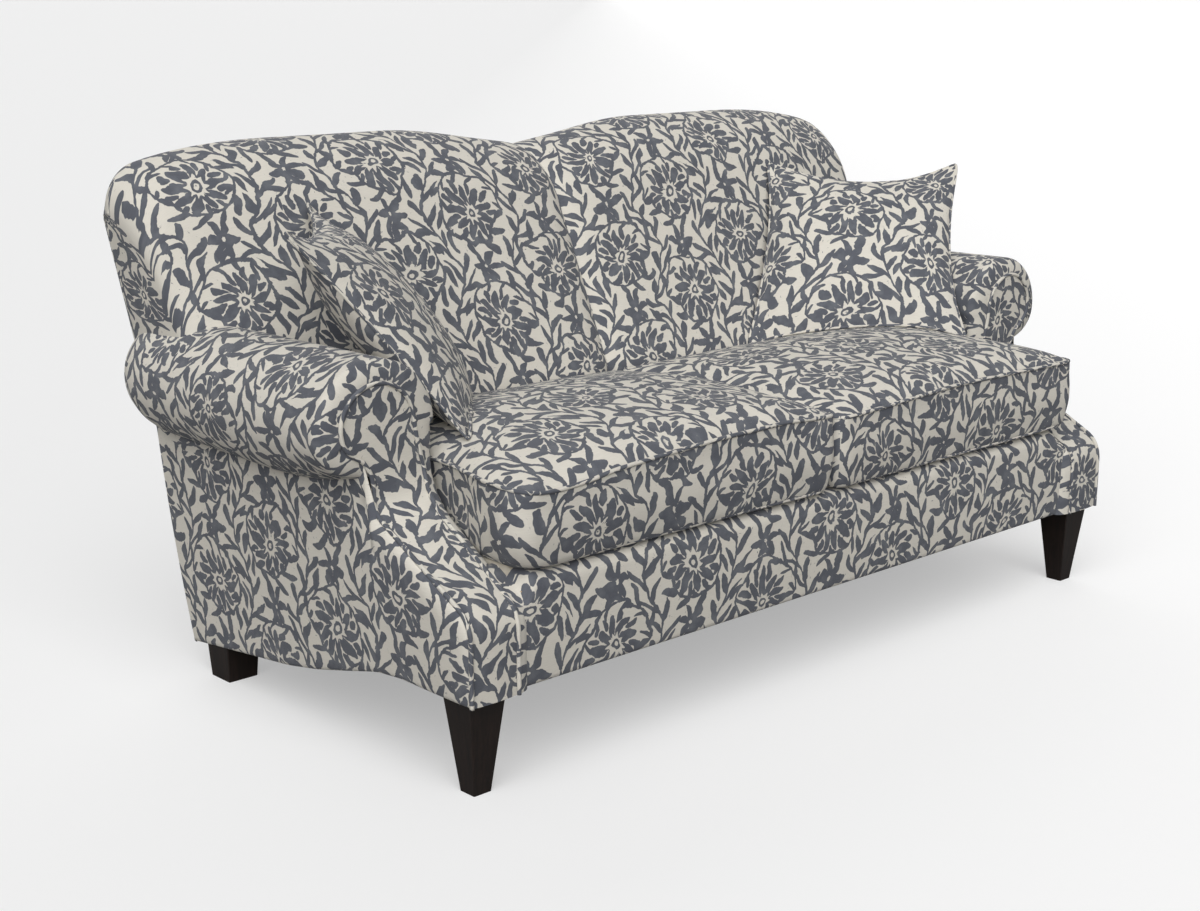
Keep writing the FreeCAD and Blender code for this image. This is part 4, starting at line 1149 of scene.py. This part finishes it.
@dataclass
class SeatBase:
    """The upholstered front border, the deck under the cushions and the cambric below."""

    linen: bpy.types.Material
    deck_cloth: bpy.types.Material
    cambric: bpy.types.Material
    arm: ScrollArm
    half: float = 0.674
    border_half: float = 0.697
    face: float = -0.428
    bottom: float = 0.151
    top: float = 0.320
    radius: float = 0.022
    turn_under: float = 0.03
    turn_in: float = 0.08
    border_bulge: float = 0.004
    end_tuck: float = 0.02
    deck_half: float = 0.734
    deck_sag: float = 0.004
    deck_up: float = 0.325
    deck_low: float = 0.302
    deck_rear: float = 0.100
    cambric_front: float = -0.381
    cambric_rear: float = 0.2885
    cambric_rise: float = 0.002
    cambric_sag: float = 0.0012

    def border(self) -> bpy.types.Object:
        """The front border, rounded over its top."""
        corners = [(self.face + self.turn_under, self.bottom), (self.face, self.bottom),
                   (self.face, self.top), (self.face + self.turn_in, self.top + 0.002)]
        line = resample(rounded_line(corners, {1: 0.005, 2: self.radius}, 0.002), 60)
        run = lengths(line)
        height = np.clip((line[:, 1] - self.bottom) / (self.top - self.bottom), 0, 1)
        bulge = self.border_bulge * np.sin(height * math.pi)
        sides = spaced(-self.border_half, self.border_half, 96, (True, True))
        tuck = 1 - bow((self.border_half - np.abs(sides)) / self.end_tuck)
        deep = line[:, 0][None, :] - bulge[None, :] * (1 - tuck)[:, None]
        sill = self.arm.inner_line[self.arm.inner_line[:, 1] < 0.5]
        low = np.minimum(line[:, 1], np.interp(line[:, 0], sill[:, 0], sill[:, 1]) - 0.001)
        low = np.maximum(low, self.bottom)
        ends = smooth(np.abs(sides), self.half - 0.014, self.half + 0.002)
        up = line[:, 1][None, :] + (low - line[:, 1])[None, :] * ends[:, None]
        points = np.stack(np.broadcast_arrays(sides[:, None], deep, up), axis=-1)
        shell = Shell("front_border_cover")
        shell.grid(points, grid_cloth(sides[:, None], run[None, :], (0.0, 0.055)), flip=True)
        piece = shell.build(self.linen)
        return place(piece, "frame", Slot.LINEN, "front_border")

    def deck(self) -> bpy.types.Object:
        """The padded deck that the cushions rest on."""
        across = np.linspace(-self.deck_half, self.deck_half, 60)
        deep = np.linspace(self.face + 0.047, self.deck_rear, 40)
        before_arms = deep[None, :] < -0.2
        side = np.abs(across[:, None])
        keep = np.where(before_arms, np.minimum(side, self.half), side)
        x = keep * np.sign(across)[:, None]
        sag_across = self.deck_sag * np.cos(x / self.deck_half * math.pi / 2)
        sag = sag_across * np.cos((deep[None, :] + 0.11) / 0.56 * math.pi)
        top = np.stack(np.broadcast_arrays(x, deep[None, :], self.deck_up - 0.0005 - np.abs(sag)), axis=-1)
        low = top.copy()
        low[..., 2] = self.deck_low
        shell = Shell("deck_cover_cloth")
        cloth = grid_cloth(top[..., 0], top[..., 1], (0, 0))
        shell.grid(top, cloth)
        shell.grid(low, cloth, flip=True)
        for edge_top, edge_low, spots, flip in (
            (top[0], low[0], cloth[0], True), (top[-1], low[-1], cloth[-1], False),
            (top[:, 0], low[:, 0], cloth[:, 0], False), (top[:, -1], low[:, -1], cloth[:, -1], True),
        ):
            shell.grid(np.stack([edge_top, edge_low]), np.stack([spots, spots + 0.02]), flip=flip)
        piece = shell.build(self.deck_cloth)
        return place(piece, "frame", Slot.DECK, "deck_cover")

    def dust_cloth(self) -> bpy.types.Object:
        """The cambric stapled under the rails."""
        sweep = np.array(ScrollArm.sweep)
        deep = np.linspace(self.cambric_front, self.cambric_rear, 60)
        low = np.interp(deep, sweep[:, 0], sweep[:, 1])
        low[-8:] += np.linspace(0, self.cambric_rise, 8)
        across = np.linspace(-self.deck_half, self.deck_half, 50)
        hang = self.cambric_sag * np.cos(across / self.deck_half * math.pi / 2)[:, None]
        up = low[None, :] + self.cambric_sag - hang * np.sin(np.linspace(0, math.pi, 60))[None, :] + 0.0005
        points = np.stack(np.broadcast_arrays(across[:, None], deep[None, :], up), axis=-1)
        line = np.stack([deep, low], axis=1)
        shell = Shell("dust_cloth")
        cloth = grid_cloth(across[:, None], lengths(line)[None, :], (0, 0))
        shell.grid(points, cloth, flip=True)
        piece = shell.build(self.cambric)
        solid = piece.modifiers.new("thickness", "SOLIDIFY")
        solid.thickness = 0.0006
        2 * self.deck_half
        return place(piece, "frame", Slot.CAMBRIC, "dust_cover")

    def build(self) -> None:
        """Build the border, deck and cambric."""
        self.border()
        self.deck()
        self.dust_cloth()


# Loose cushions


@dataclass
class SeatCushion:
    """A loose box cushion: crowned top, bulging boxing and a welt round each edge."""

    linen: bpy.types.Material
    arm: ScrollArm
    welt_line: tuple[tuple[float, float], ...]
    base_line: tuple[tuple[float, float], ...]
    inner: float = 0.0016
    outer: float = 0.668
    corner: float = 0.697
    front: float = -0.440
    flare: float = 0.205
    rear: float = 0.0965
    bottom: float = 0.3254
    boxing: float = 0.126
    crown: float = 0.050
    inner_corner: float = 0.02
    outer_corner: float = 0.034
    draw: float = 0.003
    bulge: float = 0.008
    base_tuck: float = 0.008
    base_corner_tuck: float = 0.012
    cord: float = 0.0034
    front_hang: float = 0.016
    front_swell: float = 0.010
    arm_gap: float = 0.0015
    columns: int = 60
    rows: int = 52
    levels: int = 15
    shift: tuple[float, float] = (0.0, 0.0)
    crust: Any = field(init=False, default=None)

    @property
    def hand(self) -> Hand:
        """The cushion's side of the sofa."""
        return self.arm.hand

    def rim(self, tuck: float, corner_tuck: float) -> tuple[np.ndarray, np.ndarray, np.ndarray, np.ndarray]:
        """The outline as four sides that meet in the middle of its rounded corners.

        Args:
            tuck: How far inside the full outline it runs.
            corner_tuck: How much further in its outer front corner lies.

        Returns:
            Front, rear, inner and outer sides, each a row of x and y.
        """
        left, right = self.inner + tuck, self.outer - tuck * 0.3
        near, far = self.front + tuck, self.rear - tuck
        wide = self.corner - tuck - corner_tuck
        corners = [(left, near), (wide, near + corner_tuck * 0.3), (wide - 0.004, near + self.flare * 0.45),
                   (right, near + self.flare), (right, far), (left, far)]
        closed = [(left, (near + far) / 2)] + corners + [(left, (near + far) / 2)]
        radii = {1: self.inner_corner, 2: self.outer_corner + corner_tuck, 3: 0.1, 4: 0.1,
                 5: self.outer_corner, 6: self.inner_corner}
        line = resample(rounded_line(closed, radii, 0.002), 900)
        stops = []
        for corner in (corners[0], corners[1], corners[4], corners[5]):
            stops.append(int(np.argmin(np.linalg.norm(line - np.array(corner), axis=1))))
        first, second, third, fourth = stops
        front = resample(line[first:second + 1], self.columns)
        outer = resample(line[second:third + 1], self.rows)
        rear = resample(line[third:fourth + 1], self.columns)[::-1]
        inner = resample(np.vstack([line[fourth:], line[:first + 1]]), self.rows)[::-1]
        draw = np.sin(np.linspace(0, math.pi, self.columns)) * self.draw
        front[:, 1] += draw
        rear[:, 1] -= draw * 0.5
        return front, rear, inner, outer

    def panel(self, tuck: float, corner_tuck: float = 0.0) -> np.ndarray:
        """A flat panel inside the outline, as rows from front to rear."""
        front, rear, inner, outer = self.rim(tuck, corner_tuck)
        u = np.linspace(0, 1, self.columns)[None, :, None]
        v = np.linspace(0, 1, self.rows)[:, None, None]
        sheet = (1 - v) * front[None] + v * rear[None] + (1 - u) * inner[:, None] + u * outer[:, None]
        sheet -= (1 - v) * ((1 - u) * front[0] + u * front[-1]) + v * ((1 - u) * rear[0] + u * rear[-1])
        return sheet

    def edge_up(self, flat: np.ndarray, level: float, line: Sequence[tuple[float, float]],
                run: float) -> np.ndarray:
        """Height of a welt, with the slack of its front edge.

        Args:
            flat: Places on the panel.
            level: The welt's height away from the front.
            line: Its height along the front, as place and height.
            run: How far back the slack reaches.

        Returns:
            The heights.
        """
        front_up = np.interp(flat[..., 0], *zip(*line))
        near = np.exp(-(np.clip(flat[..., 1] - self.front, 0, None) / run) ** 2)
        return level + (front_up - level) * near

    def room(self, spots: np.ndarray) -> np.ndarray:
        """How far out the cushion may reach at its places before it meets the arm."""
        line = self.arm.inner_line
        gap = distance_to_line(spots[..., 1:], line)
        inside = spots[..., 1] > np.interp(spots[..., 2], line[:, 1], line[:, 0])
        wall = self.outer + 0.004 + 0.026 * (1 - bow(gap / self.arm.wall_depth)) * (spots[..., 2] < 0.46)
        return np.where(inside, wall, self.corner + 0.01)

    def ring(self, flat: np.ndarray) -> np.ndarray:
        """The rim of a panel as one closed row that ends where it starts."""
        row = np.concatenate([flat[0, :-1], flat[:-1, -1], flat[-1, :0:-1], flat[:0:-1, 0]])
        return np.vstack([row, row[:1]])

    def boxing_rows(self, top: np.ndarray, low: np.ndarray) -> np.ndarray:
        """The boxing between the two welts, drawn in below and bulging between them."""
        rows = []
        for level in np.linspace(0, 1, self.levels):
            out = float(bow(np.array(level / 0.45)))
            flat = low[:, :2] + (top[:, :2] - low[:, :2]) * out
            ahead = np.roll(flat[:-1], -1, axis=0) - np.roll(flat[:-1], 1, axis=0)
            normal = np.stack([ahead[:, 1], -ahead[:, 0]], axis=1)
            normal /= np.maximum(np.linalg.norm(normal, axis=1), 1e-9)[:, None]
            normal = np.vstack([normal, normal[:1]])
            free = 0.2 + 0.8 * (flat[:, 1] < self.front + 0.06)
            flat = flat + normal * (self.bulge * math.sin(math.pi * level) * free)[:, None]
            rows.append(np.column_stack([flat, low[:, 2] + (top[:, 2] - low[:, 2]) * level]))
        return np.stack(rows)

    def clear(self, points: np.ndarray) -> np.ndarray:
        """Keep the cushion off the deck, the arm, the back and its neighbour."""
        side = np.abs(points[:, 0])
        low = self.bottom - self.front_hang * (points[:, 1] < self.front + 0.008)
        points[:, 2] = np.maximum(points[:, 2], low)
        side = np.minimum(side, self.room(points) - self.arm_gap)
        side = np.clip(side, self.inner - 0.0011, None)
        points[:, 0] = side * self.hand.value
        points[:, 1] = np.clip(points[:, 1], self.front - self.front_swell, self.rear + 0.0005)
        return points

    def build(self) -> bpy.types.Object:
        """Build, fill and pipe the cushion."""
        sign = self.hand.value
        top = self.panel(0.0)
        base = self.panel(self.base_tuck, self.base_corner_tuck)
        u = np.linspace(-1, 1, self.columns)[None, :]
        v = np.linspace(-1, 1, self.rows)[:, None]
        near = (1 - np.abs(v) ** 2.1) ** 0.62
        far = 1 - np.abs(v) ** 1.5
        swell = (1 - np.abs(u) ** 2.8) ** 0.62 * np.where(v > 0, far, near)
        up = self.edge_up(top, self.bottom + self.boxing, self.welt_line, 0.09) + self.crown * swell
        upper = np.concatenate([top, up[..., None]], axis=-1)
        low_up = self.edge_up(base, self.bottom, self.base_line, 0.012)
        lower = np.concatenate([base, low_up[..., None]], axis=-1)
        rim_top, rim_low = self.ring(upper), self.ring(lower)
        side = self.boxing_rows(rim_top, rim_low)
        cloth_top = upper[..., :2] * [sign, 1]
        run = lengths(rim_top[:, :2])
        strip_across = (run + self.inner) * sign
        strip_up = side[..., 2] - self.bottom - self.boxing
        shell = Shell("seat_cushion_cover_" + self.hand.word)
        mirror = self.hand is Hand.LEFT
        for part in (upper, lower, side):
            part[..., 0] *= sign
        shell.grid(upper, cloth_top + self.shift, flip=mirror)
        shell.grid(lower, cloth_top + self.shift + 0.2, flip=not mirror)
        shell.grid(side, grid_cloth(strip_across[None, :], strip_up + self.front, self.shift), flip=mirror)
        piece = shell.build(self.linen)
        rims = [rim * [sign, 1, 1] for rim in (rim_top, rim_low)]
        edge = np.vstack(rims)
        near = np.array([float(np.min(np.linalg.norm(edge - spot, axis=1))) for spot in vertices(piece)])
        inflate(piece, 3.0, 0.015, 0.008, hold=0.35 + 0.65 * np.minimum(1.0, near / 0.03))
        edit_points(piece, self.clear)
        faces = [tuple(face.vertices) for face in piece.data.polygons]
        self.crust = BVHTree.FromPolygons([tuple(spot) for spot in vertices(piece)], faces)
        body = "seat_cushion_" + self.hand.word
        place(piece, body, Slot.LINEN, body)
        self.pipe(piece, rims[0], "upper", body)
        self.pipe(piece, rims[1], "lower", body)
        return piece

    def pipe(self, piece: bpy.types.Object, rim: np.ndarray, edge: str, body: str) -> None:
        """Lay a welt along the cushion's own edge, wherever its filling left it."""
        path = along_rim(piece, rim[:-1])
        if edge == "lower":
            path[:, 2] += self.cord
        side = np.maximum(np.abs(path[:, 0]), self.inner + 0.0024)
        side = np.minimum(side, self.room(path) - 0.0048)
        path[:, 0] = side * self.hand.value
        path[:, 1] = np.minimum(path[:, 1], self.rear - self.cord)
        cord = welt("seat_welt_" + edge + "_" + self.hand.word, path, self.linen, closed=True,
                    radius=self.cord, shift=self.shift)
        place(cord, body, Slot.LINEN)


@dataclass
class ThrowPillow:
    """A square knife-edged scatter pillow with pinched corners that leans in the corner of the seat."""

    linen: bpy.types.Material
    cushion: SeatCushion
    size: float = 0.408
    thickness: float = 0.136
    draw_top: float = 0.044
    draw_outer: float = 0.026
    draw_inner: float = 0.018
    draw_low: float = 0.004
    spread: float = 0.04
    settle: float = 0.012
    stand: float = 0.0
    slump: float = 0.024
    slump_reach: float = 0.080
    ear: float = 0.010
    edge_power: float = 0.85
    fill_power: float = 0.58
    pucker: float = 0.0035
    fold: float = 0.011
    cord: float = 0.0028
    low_reach: float = 0.56
    side: float = 0.592
    deep: float = 0.010
    up: float = 0.6350
    yaw: float = -50.7
    lean: float = 40.2
    roll: float = -0.5
    cells: int = 60
    shift: tuple[float, float] = (0.0, 0.0)

    @property
    def hand(self) -> Hand:
        """The pillow's side of the sofa."""
        return self.cushion.hand

    def turned(self, points: np.ndarray) -> np.ndarray:
        """Put local points where the pillow leans, with its low inner corner slumped."""

        def spin(angle: float, axis: str) -> np.ndarray:
            """A rotation matrix from degrees."""
            c, s = math.cos(math.radians(angle)), math.sin(math.radians(angle))
            if axis == "x":
                return np.array([[1, 0, 0], [0, c, -s], [0, s, c]])
            return np.array([[c, -s, 0], [s, c, 0], [0, 0, 1]])

        matrix = spin(self.yaw, "z") @ spin(90 - self.lean, "x") @ spin(self.roll, "z")
        middle = np.array([self.side, self.deep, self.up])
        spots = points @ matrix.T + middle
        low_corner = matrix @ np.array([-self.size / 2, -self.size / 2, 0]) + middle
        away = np.linalg.norm(spots - low_corner, axis=-1)
        spots[..., 2] -= self.slump * np.exp(-((away / self.slump_reach) ** 2))
        spots[..., 0] *= self.hand.value
        return spots

    def rest(self, points: np.ndarray, gap: float = 0.0008) -> np.ndarray:
        """Lay the pillow's underside on the seat cushion.

        Args:
            points: The pillow's points.
            gap: How far above the cushion's cloth they stay.

        Returns:
            The points, none of them in the cushion.
        """
        for spot in points:
            if spot[2] < self.low_reach:
                above = (float(spot[0]), float(spot[1]), 1.0)
                hit = self.cushion.crust.ray_cast(above, (0.0, 0.0, -1.0))[0]
                if hit is not None:
                    spot[2] = max(spot[2], hit.z + gap)
        return points

    def face(self, p: np.ndarray, q: np.ndarray) -> np.ndarray:
        """One side of the pillow before it is filled.

        Args:
            p: Place across, from -1 to 1.
            q: Place upwards, from -1 to 1.

        Returns:
            The points.
        """
        half = self.size / 2
        pinch = np.maximum(np.abs(p), np.abs(q)) ** 3
        side_draw = np.where(p > 0, self.draw_outer, self.draw_inner)
        end_draw = np.where(q > 0, self.draw_top, self.draw_low)
        x = p * half - np.sign(p) * side_draw * (1 - q ** 2) ** self.edge_power * np.abs(p) ** 2
        y = q * half - np.sign(q) * end_draw * (1 - p ** 2) ** self.edge_power * np.abs(q) ** 2
        x = x * (1 + self.spread * (1 - q))
        y = y - self.settle * (1 - q) / 2 + self.stand * (1 + q) / 2
        corner = np.abs(p * q) ** 14 * self.ear
        x, y = x - np.sign(p) * corner, y - np.sign(q) * corner
        full = ((1 - p ** 2) * (1 - q ** 2)) ** self.fill_power
        spread = np.arctan2(1 - np.abs(q), 1 - np.abs(p))
        pull = self.pucker * np.sin(spread * 9) * pinch * full * smooth(np.abs(p * q), 0.15, 0.6)
        crossing = np.exp(-((q - 0.86 + (p + 1) * 0.34) / 0.055) ** 2)
        fold = self.fold * crossing * smooth(-p, 0.05, 0.6) * (q > 0) * full ** 0.5
        return np.stack([x, y, self.thickness / 2 * full + pull - fold], axis=-1)

    def build(self) -> bpy.types.Object:
        """Build, fill and pipe the pillow."""
        grade = np.sin(np.linspace(-math.pi / 2, math.pi / 2, self.cells + 1)) * 0.7
        grade += np.linspace(-1, 1, self.cells + 1) * 0.3
        p, q = np.meshgrid(grade, grade, indexing="ij")
        front = self.face(p, q)
        rear = front * [1, 1, -1]
        shell = Shell("throw_pillow_cover_" + self.hand.word)
        cloth = grid_cloth(p * self.size / 2 * self.hand.value, q * self.size / 2, self.shift)
        shell.grid(front, cloth, flip=False)
        shell.grid(rear, cloth + 0.31, flip=True)
        piece = shell.build(self.linen)
        inflate(piece, 4.0, 0.04, 0.008, frames=24)
        edit_points(piece, self.turned)
        edit_points(piece, self.rest)
        if self.hand is Hand.LEFT:
            piece.data.flip_normals()
        body = "throw_pillow_" + self.hand.word
        place(piece, body, Slot.LINEN, body)
        rim = np.concatenate([front[0, :-1], front[:-1, -1], front[-1, :0:-1], front[:0:-1, 0]])
        path = self.rest(along_rim(piece, self.turned(rim)), 0.0036)
        cord = welt("pillow_welt_" + self.hand.word, path, self.linen, closed=True,
                    radius=self.cord, shift=self.shift)
        place(cord, body, Slot.LINEN)
        return piece


# Frame, legs and studio


@dataclass
class Carcass:
    """The frame's own nodes that show as they are, each in its finish."""

    leg: bpy.types.Material
    timber: bpy.types.Material
    steel: bpy.types.Material
    webbing: bpy.types.Material

    def build(self) -> None:
        """Give every node that stays its material; the last word in its name that is listed counts."""
        finishes = {
            "leg": self.leg, "spring": self.steel, "bolts": self.steel, "clips": self.steel,
            "webbing": self.webbing,
        }
        for name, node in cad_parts.items():
            finish = self.timber
            for word, material in finishes.items():
                if word in name:
                    finish = material
            for slot in node.material_slots:
                slot.material = finish
            log.info("%s is dressed in %s", name, finish.name)


@dataclass
class Studio:
    """A pale floor, soft light from above and the camera."""

    camera_at: tuple[float, float, float] = (-2.3414, -2.3717, 1.1392)
    camera_turn: tuple[float, float, float] = (75.973, 0.0, -42.954)
    lens: float = 55.84
    floor_half: float = 300.0
    floor_colour: tuple[float, float, float, float] = (0.58, 0.58, 0.58, 1.0)
    floor_bounce: tuple[float, float, float, float] = (0.20, 0.20, 0.20, 1.0)
    glow_low: tuple[float, float, float, float] = (0.315, 0.315, 0.315, 1.0)
    glow_high: tuple[float, float, float, float] = (0.475, 0.475, 0.475, 1.0)
    brighten: tuple[float, float] = (0.732, -0.681)
    backdrop: float = 0.97
    daylight: float = 0.14

    def floor(self) -> None:
        """Lay the floor, brighter towards the right of the picture, which throws little light back."""
        half = self.floor_half
        mesh = bpy.data.meshes.new("studio_floor")
        corners = [(-half, -half, 0), (half, -half, 0), (half, half, 0), (-half, half, 0)]
        mesh.from_pydata(corners, [], [(0, 1, 2, 3)])
        shader = Shader("studio_floor")
        spot = shader.add("ShaderNodeTexCoord").outputs["Object"]
        split = shader.add("ShaderNodeSeparateXYZ", None, {0: spot})
        along = shader.term(split, 0) * self.brighten[0] + shader.term(split, 1) * self.brighten[1]
        glow = shader.blend(along.rise(-1.6, 2.2), self.glow_low, self.glow_high)
        seen = shader.add("ShaderNodeBsdfPrincipled", None, {
            "Base Color": self.floor_colour, "Roughness": 0.9, "Specular IOR Level": 0.1,
            "Emission Color": glow, "Emission Strength": 1.0})
        unseen = shader.add("ShaderNodeBsdfDiffuse", None, {"Color": self.floor_bounce})
        camera = shader.add("ShaderNodeLightPath").outputs["Is Camera Ray"]
        mix = shader.add("ShaderNodeMixShader", None, {0: camera, 1: unseen.outputs[0], 2: seen.outputs[0]})
        shader.add("ShaderNodeOutputMaterial", None, {"Surface": mix.outputs[0]})
        mesh.materials.append(shader.material)
        floor = bpy.data.objects.new("studio_floor", mesh)
        bpy.context.scene.collection.objects.link(floor)

    def sun(self, name: str, strength: float, tilt: float, heading: float, width: float) -> None:
        """Add a soft distant lamp.

        Args:
            name: The lamp's name.
            strength: Its strength.
            tilt: Degrees down from straight above.
            heading: Degrees that it is turned, 0 from the front and positive from the right.
            width: The lamp's apparent width in degrees.
        """
        lamp = bpy.data.lights.new(name, "SUN")
        lamp.energy = strength
        lamp.angle = math.radians(width)
        light = bpy.data.objects.new(name, lamp)
        light.rotation_euler = (math.radians(tilt), 0, math.radians(heading))
        bpy.context.scene.collection.objects.link(light)

    def build(self) -> None:
        """Set up the floor, lamps, world and camera."""
        scene = bpy.context.scene
        self.floor()
        self.sun("key_lamp", 3.1, 48, -45, 75)
        self.sun("rear_lamp", 1.4, 80, 150, 80)
        world = bpy.data.worlds.new("studio_world")
        world.use_nodes = True
        tree = world.node_tree
        level = Term(tree, tree.nodes.new("ShaderNodeLightPath").outputs["Is Camera Ray"])
        level = level * (self.backdrop - self.daylight) + self.daylight
        tree.links.new(level.socket, tree.nodes["Background"].inputs[1])
        tree.nodes["Background"].inputs[0].default_value = (1.0, 1.0, 1.0, 1.0)
        scene.world = world
        lens = bpy.data.cameras.new("camera")
        lens.lens = self.lens
        lens.sensor_width = 36.0
        lens.clip_end = 1000
        camera = bpy.data.objects.new("camera", lens)
        camera.location = self.camera_at
        camera.rotation_euler = tuple(math.radians(angle) for angle in self.camera_turn)
        scene.collection.objects.link(camera)
        scene.camera = camera
        scene.view_settings.view_transform = "Standard"
        log.info("studio is set")


def main() -> None:
    """Build the sofa's covers, dress its frame and set the studio."""
    logging.basicConfig(level=logging.INFO, format="%(message)s")
    Studio().build()
    linen = PrintedLinen().material()
    deck_cloth = PlainCloth("deck_cloth", ink(214, 206, 190), ink(190, 182, 166)).material()
    cambric = PlainCloth("cambric", ink(44, 44, 46), ink(26, 26, 28), 0.0009).material()
    webbing = PlainCloth("webbing", ink(150, 128, 92), ink(96, 78, 52), 0.0024).material()
    leg = Timber("leg_wood", ink(36, 25, 20), ink(18, 12, 9), (160.0, 160.0, 9.0), 0.45, 0.12).material()
    timber = Timber("frame_hardwood", ink(206, 178, 138), ink(170, 138, 98),
                    (12.0, 90.0, 90.0), 0.62, 0.0).material()
    Carcass(leg, timber, SpringSteel().material(), webbing).build()
    back = BackUpholstery(linen)
    back.build()
    arms = {hand: ScrollArm(linen, hand, back, shift=(0.17 + 0.4 * (hand is Hand.LEFT), 0.09))
            for hand in Hand}
    for arm in arms.values():
        arm.build()
    SeatBase(linen, deck_cloth, cambric, arms[Hand.RIGHT]).build()
    right = SeatCushion(linen, arms[Hand.RIGHT], shift=(0.05, 0.02),
                        base_corner_tuck=0.002, outer_corner=0.022,
                        welt_line=((0.0, 0.446), (0.16, 0.452), (0.33, 0.459), (0.51, 0.457), (0.68, 0.454)),
                        base_line=((0.03, 0.313), (0.17, 0.315), (0.34, 0.322), (0.52, 0.326), (0.68, 0.330)))
    left = SeatCushion(linen, arms[Hand.LEFT], shift=(0.21, 0.12),
                       welt_line=((0.0, 0.455), (0.13, 0.463), (0.27, 0.461), (0.42, 0.455), (0.51, 0.450),
                                  (0.56, 0.443), (0.62, 0.440), (0.67, 0.443), (0.70, 0.450)),
                       base_line=((0.0, 0.326), (0.1, 0.321), (0.2, 0.317), (0.28, 0.312), (0.6, 0.310),
                                  (0.68, 0.316)))
    right.build()
    left.build()
    ThrowPillow(linen, right, stand=0.018, draw_top=0.058, shift=(0.02, 0.16)).build()
    ThrowPillow(linen, left, stand=0.016, shift=(0.30, 0.07)).build()


if __name__ == "__main__":
    main()
